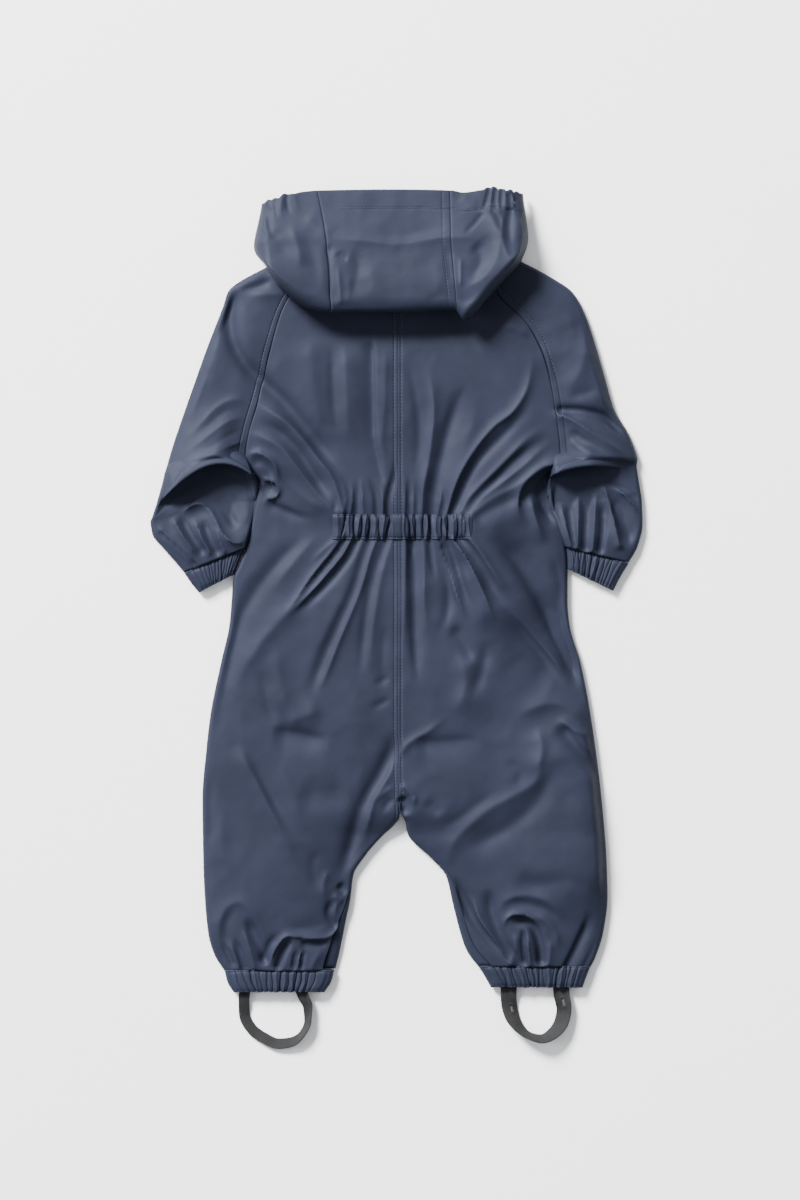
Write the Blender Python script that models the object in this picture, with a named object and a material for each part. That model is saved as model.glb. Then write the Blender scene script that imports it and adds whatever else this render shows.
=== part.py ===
"""A child's puddle suit, laid out on its front with the hood thrown back: each cut piece is a cloth wall.

Frame: +X to the viewer's right, +Y towards the hood, +Z up from the surface that the suit lies on.
Tables and functions work in millimetres; a mesh is made in metres. In the tables "left" and "right"
are the viewer's. Each wall is given by its middle surface, and its two faces lie half a wall to
either side of it.
"""
import math

import bpy
import numpy as np

MM = 0.001
CLOTH = 1.2            # wall of the coated cloth
CASING = 1.8           # wall of an elastic casing, two turned layers
GAP = 0.3              # between two pieces at a seam
RAGLAN_GAP = 0.6       # the sleeve's share of the gap at the raglan seam, whose curves differ a little
EDGE_HEIGHT = 8.0      # thickness of the flattened suit where it folds over at its sides
ROLL = (EDGE_HEIGHT - CLOTH) / 2          # radius of that fold, on the wall's middle
QUARTER = ROLL * math.pi / 2              # length of cloth in half of that fold
LOW = CLOTH / 2                           # middle of a wall that lies on the surface
TOP = LOW + 2 * ROLL                      # middle of the upper wall beside a side fold
LOWEST_TOP = 3.4                          # the upper wall's middle never sinks below this
LEFT, RIGHT = -1, 1
SHARP = math.radians(40)                  # edges that turn further than this are shaded sharp

NAVY = (0.055, 0.068, 0.110)
STRAP_GREY = (0.036, 0.040, 0.048)
ZIP_NAVY = (0.030, 0.036, 0.060)

# ---------------------------------------------------------------- outlines of the body, by height
# Columns: y, x. The raglan seam from the neck to the underarm, then the side fold to the ankle.
OUTLINE_LEFT = (
    (370, -78), (340, -97), (308, -115), (270, -126), (220, -138), (180, -149), (162, -151),
    (150, -146), (138, -136), (118, -141), (94, -146), (74, -151), (54, -158), (43, -163),
    (18, -165), (-4, -167), (-40, -175), (-94, -186), (-128, -190), (-178, -194), (-248, -193),
    (-286, -191), (-314, -188), (-334, -182), (-350, -172),
)
OUTLINE_RIGHT = (
    (370, 76), (325, 101), (294, 132), (256, 149), (210, 159), (158, 164), (148, 163),
    (136, 156), (120, 157), (100, 163), (75, 169), (50, 171), (20, 171), (-4, 173),
    (-42, 184), (-82, 192), (-128, 199), (-178, 205), (-240, 210), (-276, 211), (-310, 207),
    (-336, 199), (-346, 194),
)
# Columns: y, x. The centre seam down to the crotch, then the inside of the leg.
INNER_LEFT = (
    (370, 1), (0, 1.5), (-130, 1.5), (-180, 2.5), (-196, 3), (-205, -3), (-216, -15), (-236, -32),
    (-254, -43), (-278, -46), (-302, -51), (-328, -56), (-348, -61),
)
INNER_RIGHT = (
    (370, 1), (0, 1.5), (-130, 1.5), (-180, 2.5), (-192, 4), (-201, 9), (-213, 11), (-236, 33),
    (-254, 49), (-282, 56), (-306, 62), (-328, 69), (-346, 82),
)
# Columns: y, width of the front panel that shows on top beside the inner leg's fold.
WRAP_LEFT = ((370, 0), (-250, 0), (-280, 3), (-310, 8), (-340, 12), (-350, 12))
WRAP_RIGHT = ((370, 0), (-236, 0), (-254, 4), (-282, 7), (-318, 9), (-343, 13), (-350, 13))
# Columns: y, how far the upper wall stands above the side folds' height in the panel's middle.
CROWN = ((370, 3), (318, 3), (270, 6), (180, 8), (120, 6.5), (96, 4.5), (60, 7), (-60, 9),
         (-180, 9), (-260, 10), (-320, 8), (-350, 4))
RAGLAN_CLOSES = (158, 128)      # the side turns from a raglan seam to a side fold between these
CROTCH_CLOSES = (-188, -216)    # the middle turns from a seam to the inside fold of a leg
ANKLE_ROW = {LEFT: -348.5, RIGHT: -344.5}
NECK_ROW = 370
# Columns: from y, to y, rows between them.
ROW_SPANS = ((370, 305, 3), (305, 190, 7), (190, 106.5, 6), (106.5, 81.5, 2), (81.5, -182, 11),
             (-182, -230, 4), (-230, -300, 3), (-300, -349, 4))
PANEL_COLUMNS = 12              # strips of an upper panel between its two edge folds
WAIST_Y = 94.0                  # middle of the waist casing
WAIST_HALF_HEIGHT = 12.5
WAIST_ENDS = {LEFT: -64.0, RIGHT: 75.5}
WAIST_COLUMNS = 9               # of the panel's strips, those that crowd together at the waist
WAIST_CLEAR = 0.5               # between the panels and the casing that lies on them
WAIST_GATHER_RISE = 1.8

# ---------------------------------------------------------------- the largest folds on the back
# A soft ridge (rise > 0) or trough (rise < 0) along a bowed line from one point to the other.
# Columns: x0, y0, x1, y1, bow, half width, share of the width on the right-hand side, rise.
BACK_FOLDS = (
    # upper back, left of the middle
    (-141, 212, -62, 106, -6, 8, 0.6, 4.0),
    (-128, 232, -78, 150, -5, 9, 1.0, -3.0),
    (-138, 178, -66, 100, 5, 7, 0.8, 3.0),
    (-82, 282, -66, 150, 3, 16, 1.0, 4.0),
    (-38, 290, -34, 170, 2, 9, 0.8, -3.6),
    (-22, 286, -16, 140, -2, 6, 1.0, 3.4),
    (-50, 180, -46, 118, 2, 5, 1.0, 2.6),
    # upper back, right of the middle
    (14, 270, 10, 150, -4, 6, 1.0, -2.4),
    (31, 262, 24, 120, 8, 8, 0.8, 4.4),
    (62, 232, 38, 122, -8, 8, 1.0, -3.8),
    (137, 268, 48, 112, -24, 8, 0.5, 5.2),
    (88, 246, 60, 160, -6, 14, 1.0, 3.0),
    (154, 196, 64, 112, -8, 7, 0.7, 3.4),
    (140, 172, 72, 104, -8, 6, 0.8, 3.0),
    (128, 150, 66, 124, -4, 6, 1.0, -2.6),
    # underarms: the roll of cloth on the left and the pouch on the right
    (-133, 143, -122, 126, -7, 5, 1.0, 5.0),
    (150, 150, 134, 104, -14, 9, 0.8, 7.0),
    # seat, left of the middle
    (-48, 76, -117, 0, -10, 9, 0.5, 6.0),
    (-58, 66, -108, 18, -8, 10, 1.0, -3.0),
    (-27, 78, -84, -88, -12, 9, 0.7, 5.0),
    (-22, 72, -52, -60, -10, 7, 1.0, -3.6),
    (-62, 98, -164, -40, -14, 14, 1.0, -3.4),
    (-122, -2, -170, -72, -4, 12, 1.0, 3.6),
    (-122, -108, -68, -114, 3, 8, 0.5, -4.6),
    (-128, -118, -60, -122, 0, 7, 1.0, 3.0),
    (-12, -112, -48, -206, 6, 8, 0.7, -5.0),
    (-148, -140, -122, -206, 4, 12, 1.0, 2.8),
    # seat, right of the middle
    (42, 78, 98, 8, 6, 7, 0.8, 4.6),
    (60, 78, 128, 10, 5, 8, 1.0, -3.6),
    (70, 80, 172, -36, 10, 10, 0.8, -4.6),
    (88, 78, 180, -22, 10, 8, 0.8, 4.0),
    (17, 60, 17, -62, 0, 5, 1.0, -3.4),
    (30, 76, 66, -10, 4, 6, 1.0, 3.2),
    (58, -16, 32, -24, 0, 9, 1.0, -2.6),
    (24, -120, 86, -118, -3, 8, 0.6, -3.8),
    (56, -222, 144, -158, -6, 9, 0.5, 5.4),
    (74, -232, 168, -128, -10, 10, 1.0, -4.4),
    (6, -168, 16, -196, -5, 6, 1.0, -3.0),
    # legs, above the ankle casings
    (-124, -346, -58, -318, -24, 6, 0.5, 5.4),
    (-176, -300, -136, -344, -12, 7, 0.8, 4.4),
    (-152, -346, -160, -322, 0, 4, 1.0, 3.0),
    (-92, -346, -96, -326, 0, 5, 1.0, -3.0),
    (108, -302, 160, -326, -9, 7, 0.5, 4.8),
    (122, -312, 140, -340, -4, 6, 1.0, -4.4),
    (82, -268, 118, -340, 8, 9, 1.0, -3.4),
    (190, -300, 170, -340, -3, 7, 1.0, -3.4),
)

# ---------------------------------------------------------------- sleeves
# Upper sleeve, from the neck to the row before the elbow pleat, then the forearm to its cuff.
# Columns: inner x, inner y, outer x, outer y, arch (how far the row's middle is drawn up), rise.
UPPER_LEFT = (
    (-79, 371.5, -65, 381, 0, 3), (-97, 340, -98, 368, 0, 3), (-115, 308, -134, 351, 0, 3),
    (-121, 289, -160, 336, 0, 4), (-128, 264, -173, 315, 0, 5), (-136, 228, -188, 276, 0, 6),
    (-144, 200, -202, 237, 0, 6), (-149, 179, -215, 200, 1, 7), (-151, 165, -225, 170, 4, 9),
    (-149, 152, -233, 141, 14, 12),
)
LIP_LEFT = (-140, 139, -240, 116, 27)
FOREARM_LEFT = (
    (-144, 118, -246, 98, 7, -1), (-148, 98, -244, 86, 3, 2), (-152, 84, -231, 70, 0, 2),
    (-157, 73, -212, 48, 0, 1),
)
UPPER_RIGHT = (
    (77, 371.5, 63, 381, 0, 3), (88, 348, 94, 373, 0, 3), (104, 322, 126, 358, 0, 3),
    (119, 308, 156, 342, 0, 4), (132, 294, 176, 328, 0, 5), (143, 274, 188, 307, 0, 6),
    (151, 250, 199, 275, 0, 6), (156, 226, 208, 244, 0, 7), (160, 200, 218, 210, 0, 7),
    (163, 176, 232, 186, 1, 9), (164, 160, 241, 162, 3, 12),
)
LIP_RIGHT = (165.5, 146, 240, 154, 6)
FOREARM_RIGHT = (
    (161, 120, 245, 122, 2, -1), (167, 100, 246, 96, 0, 2), (172.5, 84, 241, 74, 0, 2),
    (174.5, 74, 232, 58, 0, 1),
)
# The pleat at the elbow, across it. Columns: place between the last upper row (0), the lip (1) and
# the forearm (2); slide towards the cuff; height of the wall's middle.
PLEAT = (
    (0.60, 0, 19.5), (0.92, 0, 21.5), (1.08, 0, 19.5), (1.20, -7, 16.8), (1.35, -22, 15.2),
    (1.50, -27, 11.5), (1.65, -22, 7.4), (1.80, -7, 5.2),
)
PLEAT_FADE = (14.0, 24.0)       # the pleat runs out this far from its inner and outer ends
SLEEVE_TOP_STRIPS = 6
SLEEVE_CREASES = (
    (-146, 212, -178, 240, 0, 8, 1.0, 2.6),
    (-160, 268, -166, 300, 0, 9, 1.0, -2.4),
    (-210, 172, -160, 200, -4, 7, 0.8, 3.0),
    (-205, 190, -160, 222, -4, 8, 1.0, -2.4),
    (-150, 336, -118, 316, 0, 7, 1.0, -2.0),
    (168, 212, 236, 166, 4, 8, 0.7, 3.4),
    (166, 204, 226, 170, 0, 7, 1.0, -3.0),
    (176, 172, 200, 156, 0, 6, 1.0, 2.6),
    (170, 290, 190, 240, 4, 10, 1.0, 2.2),
)
# Columns: inner x, inner y, outer x, outer y at the casing's top edge, middle and hem.
CUFF_LEFT = ((-157.2, 72.4, -212.2, 47.6), (-160.5, 59, -204.5, 36.5), (-164, 46.5, -197.5, 28))
CUFF_RIGHT = ((174.6, 73.4, 232, 57.2), (174, 63, 224, 44), (172.5, 52, 216.5, 29.5))
CUFF_HEIGHT = 8.6
CUFF_RIBS = 11
# Columns: inner x, inner y, outer x, outer y.
ANKLE_LEFT = ((-62, -348.9, -172, -348.9), (-65, -360, -169, -361), (-72, -371, -163, -371))
ANKLE_RIGHT = ((81.5, -344.9, 194, -344.9), (88, -355, 190, -355), (94, -366, 186, -366.5))
ANKLE_HEIGHT = 10.0
ANKLE_RIBS = 15
RIB_RISE = 1.1

# ---------------------------------------------------------------- hood
# The hood's upper layer is lofted over three lines, from its hem to the fold at its lower edge.
# Columns: share of the way across, x, y.
HOOD_HEM = ((0, -134, 413), (0.09, -112, 421), (0.17, -90, 426), (0.25, -76, 427), (0.5, 3, 428),
            (0.72, 55, 427), (0.77, 66, 425), (0.9, 93, 428), (1, 126, 423))
HOOD_RIDGE = ((0, -142, 374), (0.1, -118, 378), (0.25, -66, 380), (0.5, 2, 380), (0.72, 56, 383),
              (0.8, 78, 383), (0.9, 104, 385), (1, 131, 383))
HOOD_FOLD = ((0, -129, 353), (0.08, -113, 329), (0.2, -80, 309), (0.25, -60, 307), (0.5, 0, 307),
             (0.7, 58, 309), (0.76, 68, 299), (0.86, 92, 323), (1, 124, 358))
HOOD_RIDGE_AT = 0.40            # share of the way from the hem to the lower fold
# Columns: share of the way down, height of the wall's middle.
HOOD_PROFILE = ((0, 16), (0.16, 21), (0.32, 27), (0.40, 31), (0.46, 30.5), (0.62, 39), (0.8, 40), (1, 37))
# Columns: share of the way across, height at which the lower fold's cloth ends.
HOOD_UNDERCUT = ((0, 10), (0.12, 17), (0.25, 21), (0.72, 21), (0.88, 17), (1, 10))
HOOD_ROWS = (0, 0.11, 0.24, 0.38, 0.46, 0.58, 0.72, 0.84, 0.93, 0.98, 1)
# Columns: node, first and last share across, strips, gathers in the hem's outer corner.
HOOD_PANELS = (
    ("hood_left", 0.0, 0.235, 11, 4),
    ("hood_centre", 0.24, 0.71, 8, 0),
    ("hood_right", 0.715, 1.0, 15, 6),
)
HOOD_GATHER_RISE = 1.6
HOOD_EDGE_ROUND = 20.0          # width over which the upper layer rounds down to its folds
HOOD_HEM_SIDE_HEIGHT = 9.0
# Columns: x0, y0, x1, y1, bow, half width, share on the right-hand side, rise.
HOOD_FOLDS = (
    (-70, 376, -56, 318, 0, 12, 1.0, -4.0),
    (62, 376, 66, 324, 0, 11, 1.0, -4.0),
    (-10, 350, 30, 350, 0, 26, 1.0, 3.0),
    (-128, 392, -104, 338, 6, 9, 0.7, 3.0),
    (92, 404, 68, 384, 0, 6, 0.6, 3.0),
    (106, 390, 88, 330, -12, 8, 0.7, 3.4),
    (121, 400, 118, 358, 5, 7, 1.0, 3.0),
)
INSIDE_BELOW = 5.5              # the hood's inner layers lie this far under the upper one's middle
INSIDE_FLOOR = 13.6             # and this high over the shoulders
NECK_BLOCK = (-116, 384, 104, 409)        # where they reach the surface: x0, y0, x1, y1

# ---------------------------------------------------------------- foot straps
# Columns: x, y, width that lies flat, tilt in degrees about the strap's own line.
STRAP_LEFT = (
    (-150.5, -364, 11, 0), (-152.5, -378, 11, 0), (-152, -394, 11, 4), (-145, -408, 11, 8),
    (-133, -417, 11, 12), (-118, -423.2, 11, 20), (-104, -421, 11, 34), (-94, -413, 11, 56),
    (-88.5, -400, 11, 52), (-88.5, -386, 11, 30), (-94, -374, 11, 8), (-97, -364, 11, 0),
)
STRAP_RIGHT = (
    (112, -360, 16, 0), (112, -378, 16, 4), (115, -394, 16, 24), (122, -406, 16, 50),
    (133, -415, 16, 66), (145, -418, 16, 60), (157, -412, 16, 44), (165, -401, 16, 28),
    (167.5, -388, 16, 22), (165, -374, 16, 6), (164, -360, 16, 0),
)
STRAP_THICK = 1.4
STRAP_REST = 3.4                # the strap ends lie this high inside the casing
STRAP_STEPS = 26

# ---------------------------------------------------------------- front zip
ZIP_HALF_WIDTH = 12.0
ZIP_TOP, ZIP_BOTTOM = 356.0, -36.0
ZIP_BLEND = 26.0                # the front panels close to a seam over this length below the zip
COIL_HALF_WIDTH, COIL_RISE = 2.5, 0.9
COIL_SLOPE = 0.4                # width over which the tape rises to the coil
SLIDER_LENGTH, SLIDER_HALF_WIDTH, SLIDER_HEIGHT = 10.0, 4.0, 3.0
SLIDER_END, SLIDER_BEVEL = 2.0, 0.8       # its tapered ends and its lowered sides
SLIDER_SHARES = (0.6, 1.0, 1.0, 0.7)      # of its width, from the top end to the bottom one


# ================================================================ curves and folds
def smooth(value, start, end):
    """0 before start, 1 after end, and an even turn between them."""
    share = np.clip((np.asarray(value, float) - start) / (end - start), 0, 1)
    return share * share * (3 - 2 * share)


def blend(a, b, share):
    return a + (b - a) * share


def through(rows, column=1):
    """A smooth curve through a table's rows by their first column, with no overshoot between rows."""
    order = sorted(rows, key=lambda row: row[0])
    at = np.array([row[0] for row in order], float)
    value = np.array([row[column] for row in order], float)
    step = np.diff(at)
    slope = np.diff(value) / step
    tangent = np.empty(len(at))
    tangent[0], tangent[-1] = slope[0], slope[-1]
    same_way = slope[:-1] * slope[1:] > 0
    mean = 2 * slope[:-1] * slope[1:] / np.where(same_way, slope[:-1] + slope[1:], 1)
    tangent[1:-1] = np.where(same_way, mean, 0)

    def curve(query):
        query = np.clip(np.asarray(query, float), at[0], at[-1])
        i = np.clip(np.searchsorted(at, query, side="right") - 1, 0, len(at) - 2)
        u = (query - at[i]) / step[i]
        return (
            (2 * u**3 - 3 * u**2 + 1) * value[i]
            + (u**3 - 2 * u**2 + u) * step[i] * tangent[i]
            + (3 * u**2 - 2 * u**3) * value[i + 1]
            + (u**3 - u**2) * step[i] * tangent[i + 1]
        )

    return curve


def folds_at(x, y, table):
    """Height of all the folds of a table over the point x, y."""
    total = np.zeros(np.broadcast(x, y).shape)
    for x0, y0, x1, y1, bow, width, right_share, rise in table:
        run_x, run_y = x1 - x0, y1 - y0
        length = math.hypot(run_x, run_y)
        run = ((x - x0) * run_x + (y - y0) * run_y) / length**2
        off = ((x - x0) * run_y - (y - y0) * run_x) / length + 4 * bow * run * (1 - run)
        reach = width * np.where(off > 0, right_share, 1.0)
        ends = smooth(run, -0.10, 0.22) * (1 - smooth(run, 0.78, 1.10))
        total = total + rise * np.exp(-((off / reach) ** 2)) * ends
    return total


# ================================================================ meshes
def material(name, colour, roughness):
    made = bpy.data.materials.new(name)
    made.use_nodes = True
    shader = made.node_tree.nodes["Principled BSDF"]
    shader.inputs["Base Color"].default_value = (*colour, 1)
    shader.inputs["Roughness"].default_value = roughness
    return made


def add_object(name, points, faces, colour, roughness):
    mesh = bpy.data.meshes.new(name)
    mesh.from_pydata([tuple(point) for point in np.asarray(points) * MM], [], faces)
    mesh.materials.append(material(name, colour, roughness))
    mesh.shade_smooth()
    mesh.set_sharp_from_angle(angle=SHARP)
    made = bpy.data.objects.new(name, mesh)
    bpy.context.scene.collection.objects.link(made)
    return made


def unit(vectors):
    return vectors / np.linalg.norm(vectors, axis=-1, keepdims=True)


def normals_of(grid, closed=False):
    """Normals of a grid of points, rows by columns, from the points' neighbours."""
    if closed:
        across = np.roll(grid, -1, axis=1) - np.roll(grid, 1, axis=1)
    else:
        across = np.gradient(grid, axis=1)
    return unit(np.cross(across, np.gradient(grid, axis=0)))


def square_ends(normals, first, last):
    """Turns the normals of a grid's first and last row square to these plan directions, so that the
    wall's two ends are flat and the next piece can lie against them."""
    for row, (x, y) in ((0, first), (-1, last)):
        way = unit(np.array([x, y, 0.0]))
        normals[row] = unit(normals[row] - np.outer(normals[row] @ way, way))
    return normals


def wall(name, grid, normals, thick=CLOTH, closed=False, raised=None, colour=NAVY, roughness=0.38):
    """A cloth wall on both sides of a grid of points. A closed grid is a ring in each row.

    The normals point to the wall's outer face, and raised moves only that face further out.
    """
    rows, columns = grid.shape[:2]
    outer = grid + normals * (thick / 2)
    if raised is not None:
        outer = outer + normals * raised[..., None]
    inner = grid - normals * (thick / 2)
    points = np.concatenate([outer.reshape(-1, 3), inner.reshape(-1, 3)])
    offset = rows * columns
    spans = columns if closed else columns - 1
    faces = []
    for i in range(rows - 1):
        for j in range(spans):
            a, b = i * columns + j, i * columns + (j + 1) % columns
            c, d = b + columns, a + columns
            faces.append((a, b, c, d))
            faces.append((a + offset, d + offset, c + offset, b + offset))
    for j in range(spans):
        a, b = j, (j + 1) % columns
        faces.append((b, a, a + offset, b + offset))
        a, b = a + (rows - 1) * columns, b + (rows - 1) * columns
        faces.append((a, b, b + offset, a + offset))
    if not closed:
        for i in range(rows - 1):
            a, b = i * columns, (i + 1) * columns
            faces.append((a, b, b + offset, a + offset))
            a, b = a + columns - 1, b + columns - 1
            faces.append((b, a, a + offset, b + offset))
    if np.sum(normals_of(grid, closed) * normals) < 0:
        faces = [face[::-1] for face in faces]
    return add_object(name, points, faces, colour, roughness)


# ================================================================ the flattened tube's edges
def rolled(distance, closed):
    """A wall's way round a side fold: (inset from the outline, height) after a length of cloth.

    The length is measured from the outermost line of the fold, upwards where positive. An open edge
    has no fold: its upper wall runs out level to the outline, and so does its lower one.
    """
    distance = np.asarray(distance, float)
    turn = np.clip(distance / ROLL, -math.pi / 2, math.pi / 2)
    beyond = np.maximum(np.abs(distance) - QUARTER, 0)
    inset = ROLL * (1 - np.cos(turn)) + beyond
    height = LOW + ROLL + ROLL * np.sin(turn)
    level = np.where(distance > 0, TOP, LOW)
    return blend(np.abs(distance), inset, closed), blend(level, height, closed)


def seam_distance(wrap):
    """Length of cloth from a fold's outermost line to a seam that shows this far in from it."""
    if wrap < ROLL:
        return ROLL * math.acos(1 - wrap / ROLL)
    return QUARTER + wrap - ROLL


def edge_normals(side, turn, open_up):
    """Normals at an edge: level outwards on a fold (turn 1), straight up or down on an open seam."""
    turn = np.asarray(turn, float)
    upright = (1 - turn) * (1 if open_up else -1)
    return unit(np.stack([side * turn, np.zeros_like(turn), upright], axis=-1))


# ================================================================ body panels
def body_rows(side):
    """Heights of a body panel's rows, from the neck to the ankle casing."""
    rows = [NECK_ROW]
    for start, end, count in ROW_SPANS:
        rows += [start + (end - start) * (k + 1) / count for k in range(count)]
    rows[-1] = ANKLE_ROW[side]
    return rows


def waist_crowding(y):
    """1 at the waist casing, 0 well away from it, where a panel's strips are even."""
    away = abs(y - WAIST_Y)
    return 1 - float(smooth(away, 20, 120))


def strip_shares(y, first, last, side):
    """Where a panel's strips divide its upper wall, crowded between the ends of the waist casing."""
    even = np.linspace(first, last, PANEL_COLUMNS + 1)
    waist_end = abs(WAIST_ENDS[side]) + 1
    crowded = np.concatenate([
        np.linspace(first, waist_end, WAIST_COLUMNS + 1),
        np.linspace(waist_end, last, PANEL_COLUMNS - WAIST_COLUMNS + 1)[1:],
    ])
    return blend(even, crowded, waist_crowding(y))


def crown_at(crown, along, width, closed_in, closed_out):
    """How far the upper wall stands up at a place along a row, from the inner end outwards."""
    share = np.clip(along / width, 0, 1)
    outer = 1 - blend(0.35, 1.0, closed_out) * share**3
    inner = 1 - closed_in * (1 - share) ** 3
    return crown * outer * inner


def body_half(side):
    """Middle surfaces and normals of the back panel and the front panel of one half."""
    outline = through(OUTLINE_LEFT if side == LEFT else OUTLINE_RIGHT)
    inside = through(INNER_LEFT if side == LEFT else INNER_RIGHT)
    wrap_of = through(WRAP_LEFT if side == LEFT else WRAP_RIGHT)
    crown_of = through(CROWN)
    back, front = [], []
    back_ends, front_ends = [], []
    for y in body_rows(side):
        closed_out = 1 - float(smooth(y, RAGLAN_CLOSES[1], RAGLAN_CLOSES[0]))
        closed_in = 1 - float(smooth(y, CROTCH_CLOSES[1], CROTCH_CLOSES[0]))
        start = float(inside(y)) + side * closed_in * CLOTH / 2
        width = side * (float(outline(y)) - start) - closed_out * CLOTH / 2
        seam = seam_distance(float(wrap_of(y)))

        inner_roll = seam + GAP + np.linspace(0, 1, 3) * max(QUARTER - seam, 4)
        outer_roll = np.linspace(QUARTER, GAP * 0.7, 3)
        in_a, in_z = rolled(inner_roll, closed_in)
        out_a, out_z = rolled(outer_roll, closed_out)
        strips = strip_shares(y, in_a[-1], width - out_a[0], side)[1:-1]
        along = np.concatenate([in_a, strips, width - out_a])
        height = np.concatenate([in_z, np.full(len(strips), TOP), out_z])
        x = start + side * along
        fade_in = 1 - closed_in * (1 - smooth(along, 2, 18))
        fade_out = 1 - closed_out * (1 - smooth(width - along, 2, 18))
        relief = crown_at(float(crown_of(y)), along, width, closed_in, closed_out)
        relief = relief + fade_in * fade_out * folds_at(x, y, BACK_FOLDS)
        on_top = smooth(height, LOW + ROLL, TOP)
        height = np.maximum(height + relief * on_top, np.minimum(height, LOWEST_TOP))
        back.append(np.stack([x, np.full(len(x), y), height], axis=-1))

        zip_half = (ZIP_HALF_WIDTH + GAP) * float(smooth(y, ZIP_BOTTOM - ZIP_BLEND, ZIP_BOTTOM - 2))
        low_in = np.linspace(seam - GAP, -QUARTER, 4)
        low_out = np.linspace(-QUARTER, -GAP * 0.7, 3)
        in_a, in_z = rolled(low_in, closed_in)
        out_a, out_z = rolled(low_out, closed_out)
        in_a = in_a + zip_half
        middle = np.array([(in_a[-1] + width - out_a[0]) / 2])
        along = np.concatenate([in_a, middle, width - out_a])
        height = np.concatenate([in_z, [LOW], out_z])
        front.append(np.stack([start + side * along, np.full(len(along), y), height], axis=-1))

        seam_turn = seam / ROLL if seam < QUARTER else math.pi / 2
        seam_normal = np.array([-side * math.cos(seam_turn), 0, math.sin(seam_turn)])
        up = np.array([0, 0, 1.0])
        back_ends.append((blend(up, seam_normal, closed_in), edge_normals(side, closed_out, True)))
        front_ends.append((blend(-up, seam_normal, closed_in), edge_normals(side, closed_out, False)))
    grids = []
    for grid, ends, way in ((back, back_ends, 1), (front, front_ends, -1)):
        grid = np.array(grid)
        normals = normals_of(grid)
        if normals[len(grid) // 2, grid.shape[1] // 2, 2] * way < 0:
            normals = -normals
        normals[:, 0] = unit(np.array([end[0] for end in ends]))
        normals[:, -1] = unit(np.array([end[1] for end in ends]))
        grids.append((grid, square_ends(normals, (0, 1), (0, 1))))
    return grids


def make_body():
    for side, word in ((LEFT, "left"), (RIGHT, "right")):
        (back, back_normals), (front, front_normals) = body_half(side)
        wall(f"back_{word}", back, back_normals)
        wall(f"front_{word}", front, front_normals)


def make_waist_casing():
    """The elastic casing on the back: the panels' own points, moved out, with a gather to each strip."""
    halves = []
    for side in (LEFT, RIGHT):
        (back, normals), _ = body_half(side)
        rows = [i for i in range(len(back)) if abs(back[i, 0, 1] - WAIST_Y) < WAIST_HALF_HEIGHT + 0.1]
        columns = range(2, 2 + WAIST_COLUMNS + 1)
        lifted = (back + normals * (CLOTH + WAIST_CLEAR))[np.ix_(rows, columns)]
        halves.append(lifted[:, ::-1] if side == LEFT else lifted)
    fine = refine_columns(np.concatenate(halves, axis=1), 2)
    gathers = np.where(np.arange(fine.shape[1]) % 2 == 0, 0.0, WAIST_GATHER_RISE)
    raised = np.tile(gathers, (fine.shape[0], 1))
    normals = np.zeros_like(fine)
    normals[..., 2] = 1
    wall("waist_casing", fine, normals, CLOTH, raised=raised, roughness=0.40)


def refine_columns(grid, times):
    """The same grid with its columns split into equal parts."""
    parts = []
    for j in range(grid.shape[1] - 1):
        parts += [blend(grid[:, j], grid[:, j + 1], k / times) for k in range(times)]
    return np.stack(parts + [grid[:, -1]], axis=1)


# ================================================================ sleeves
def across_line(row):
    """The plan direction square to a table row's line, which starts inner x, inner y, outer x, outer y."""
    return row[3] - row[1], row[0] - row[2]


def pleat_depth(along, width):
    """How deep the elbow pleat is at a place along its row, from 0 at its ends to 1."""
    return smooth(along, 2, 2 + PLEAT_FADE[0]) * smooth(width - along, 2, 2 + PLEAT_FADE[1])


def sleeve_rows(upper, lip, forearm):
    """Rows of the sleeve: (inner x, y, outer x, y, arch, rise, slide, height in the pleat or None)."""
    rows = [(*row, 0, None) for row in upper]
    before, after = np.array(upper[-1][:5]), np.array(forearm[0][:5])
    middle = np.array(lip)
    for place, slide, height in PLEAT:
        if place < 1:
            line = blend(before, middle, place)
        else:
            line = blend(middle, after, (place - 1))
            line[4] = middle[4]
        rows.append((*line, 0, slide, height))
    return rows + [(*row, 0, None) for row in forearm]


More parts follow.
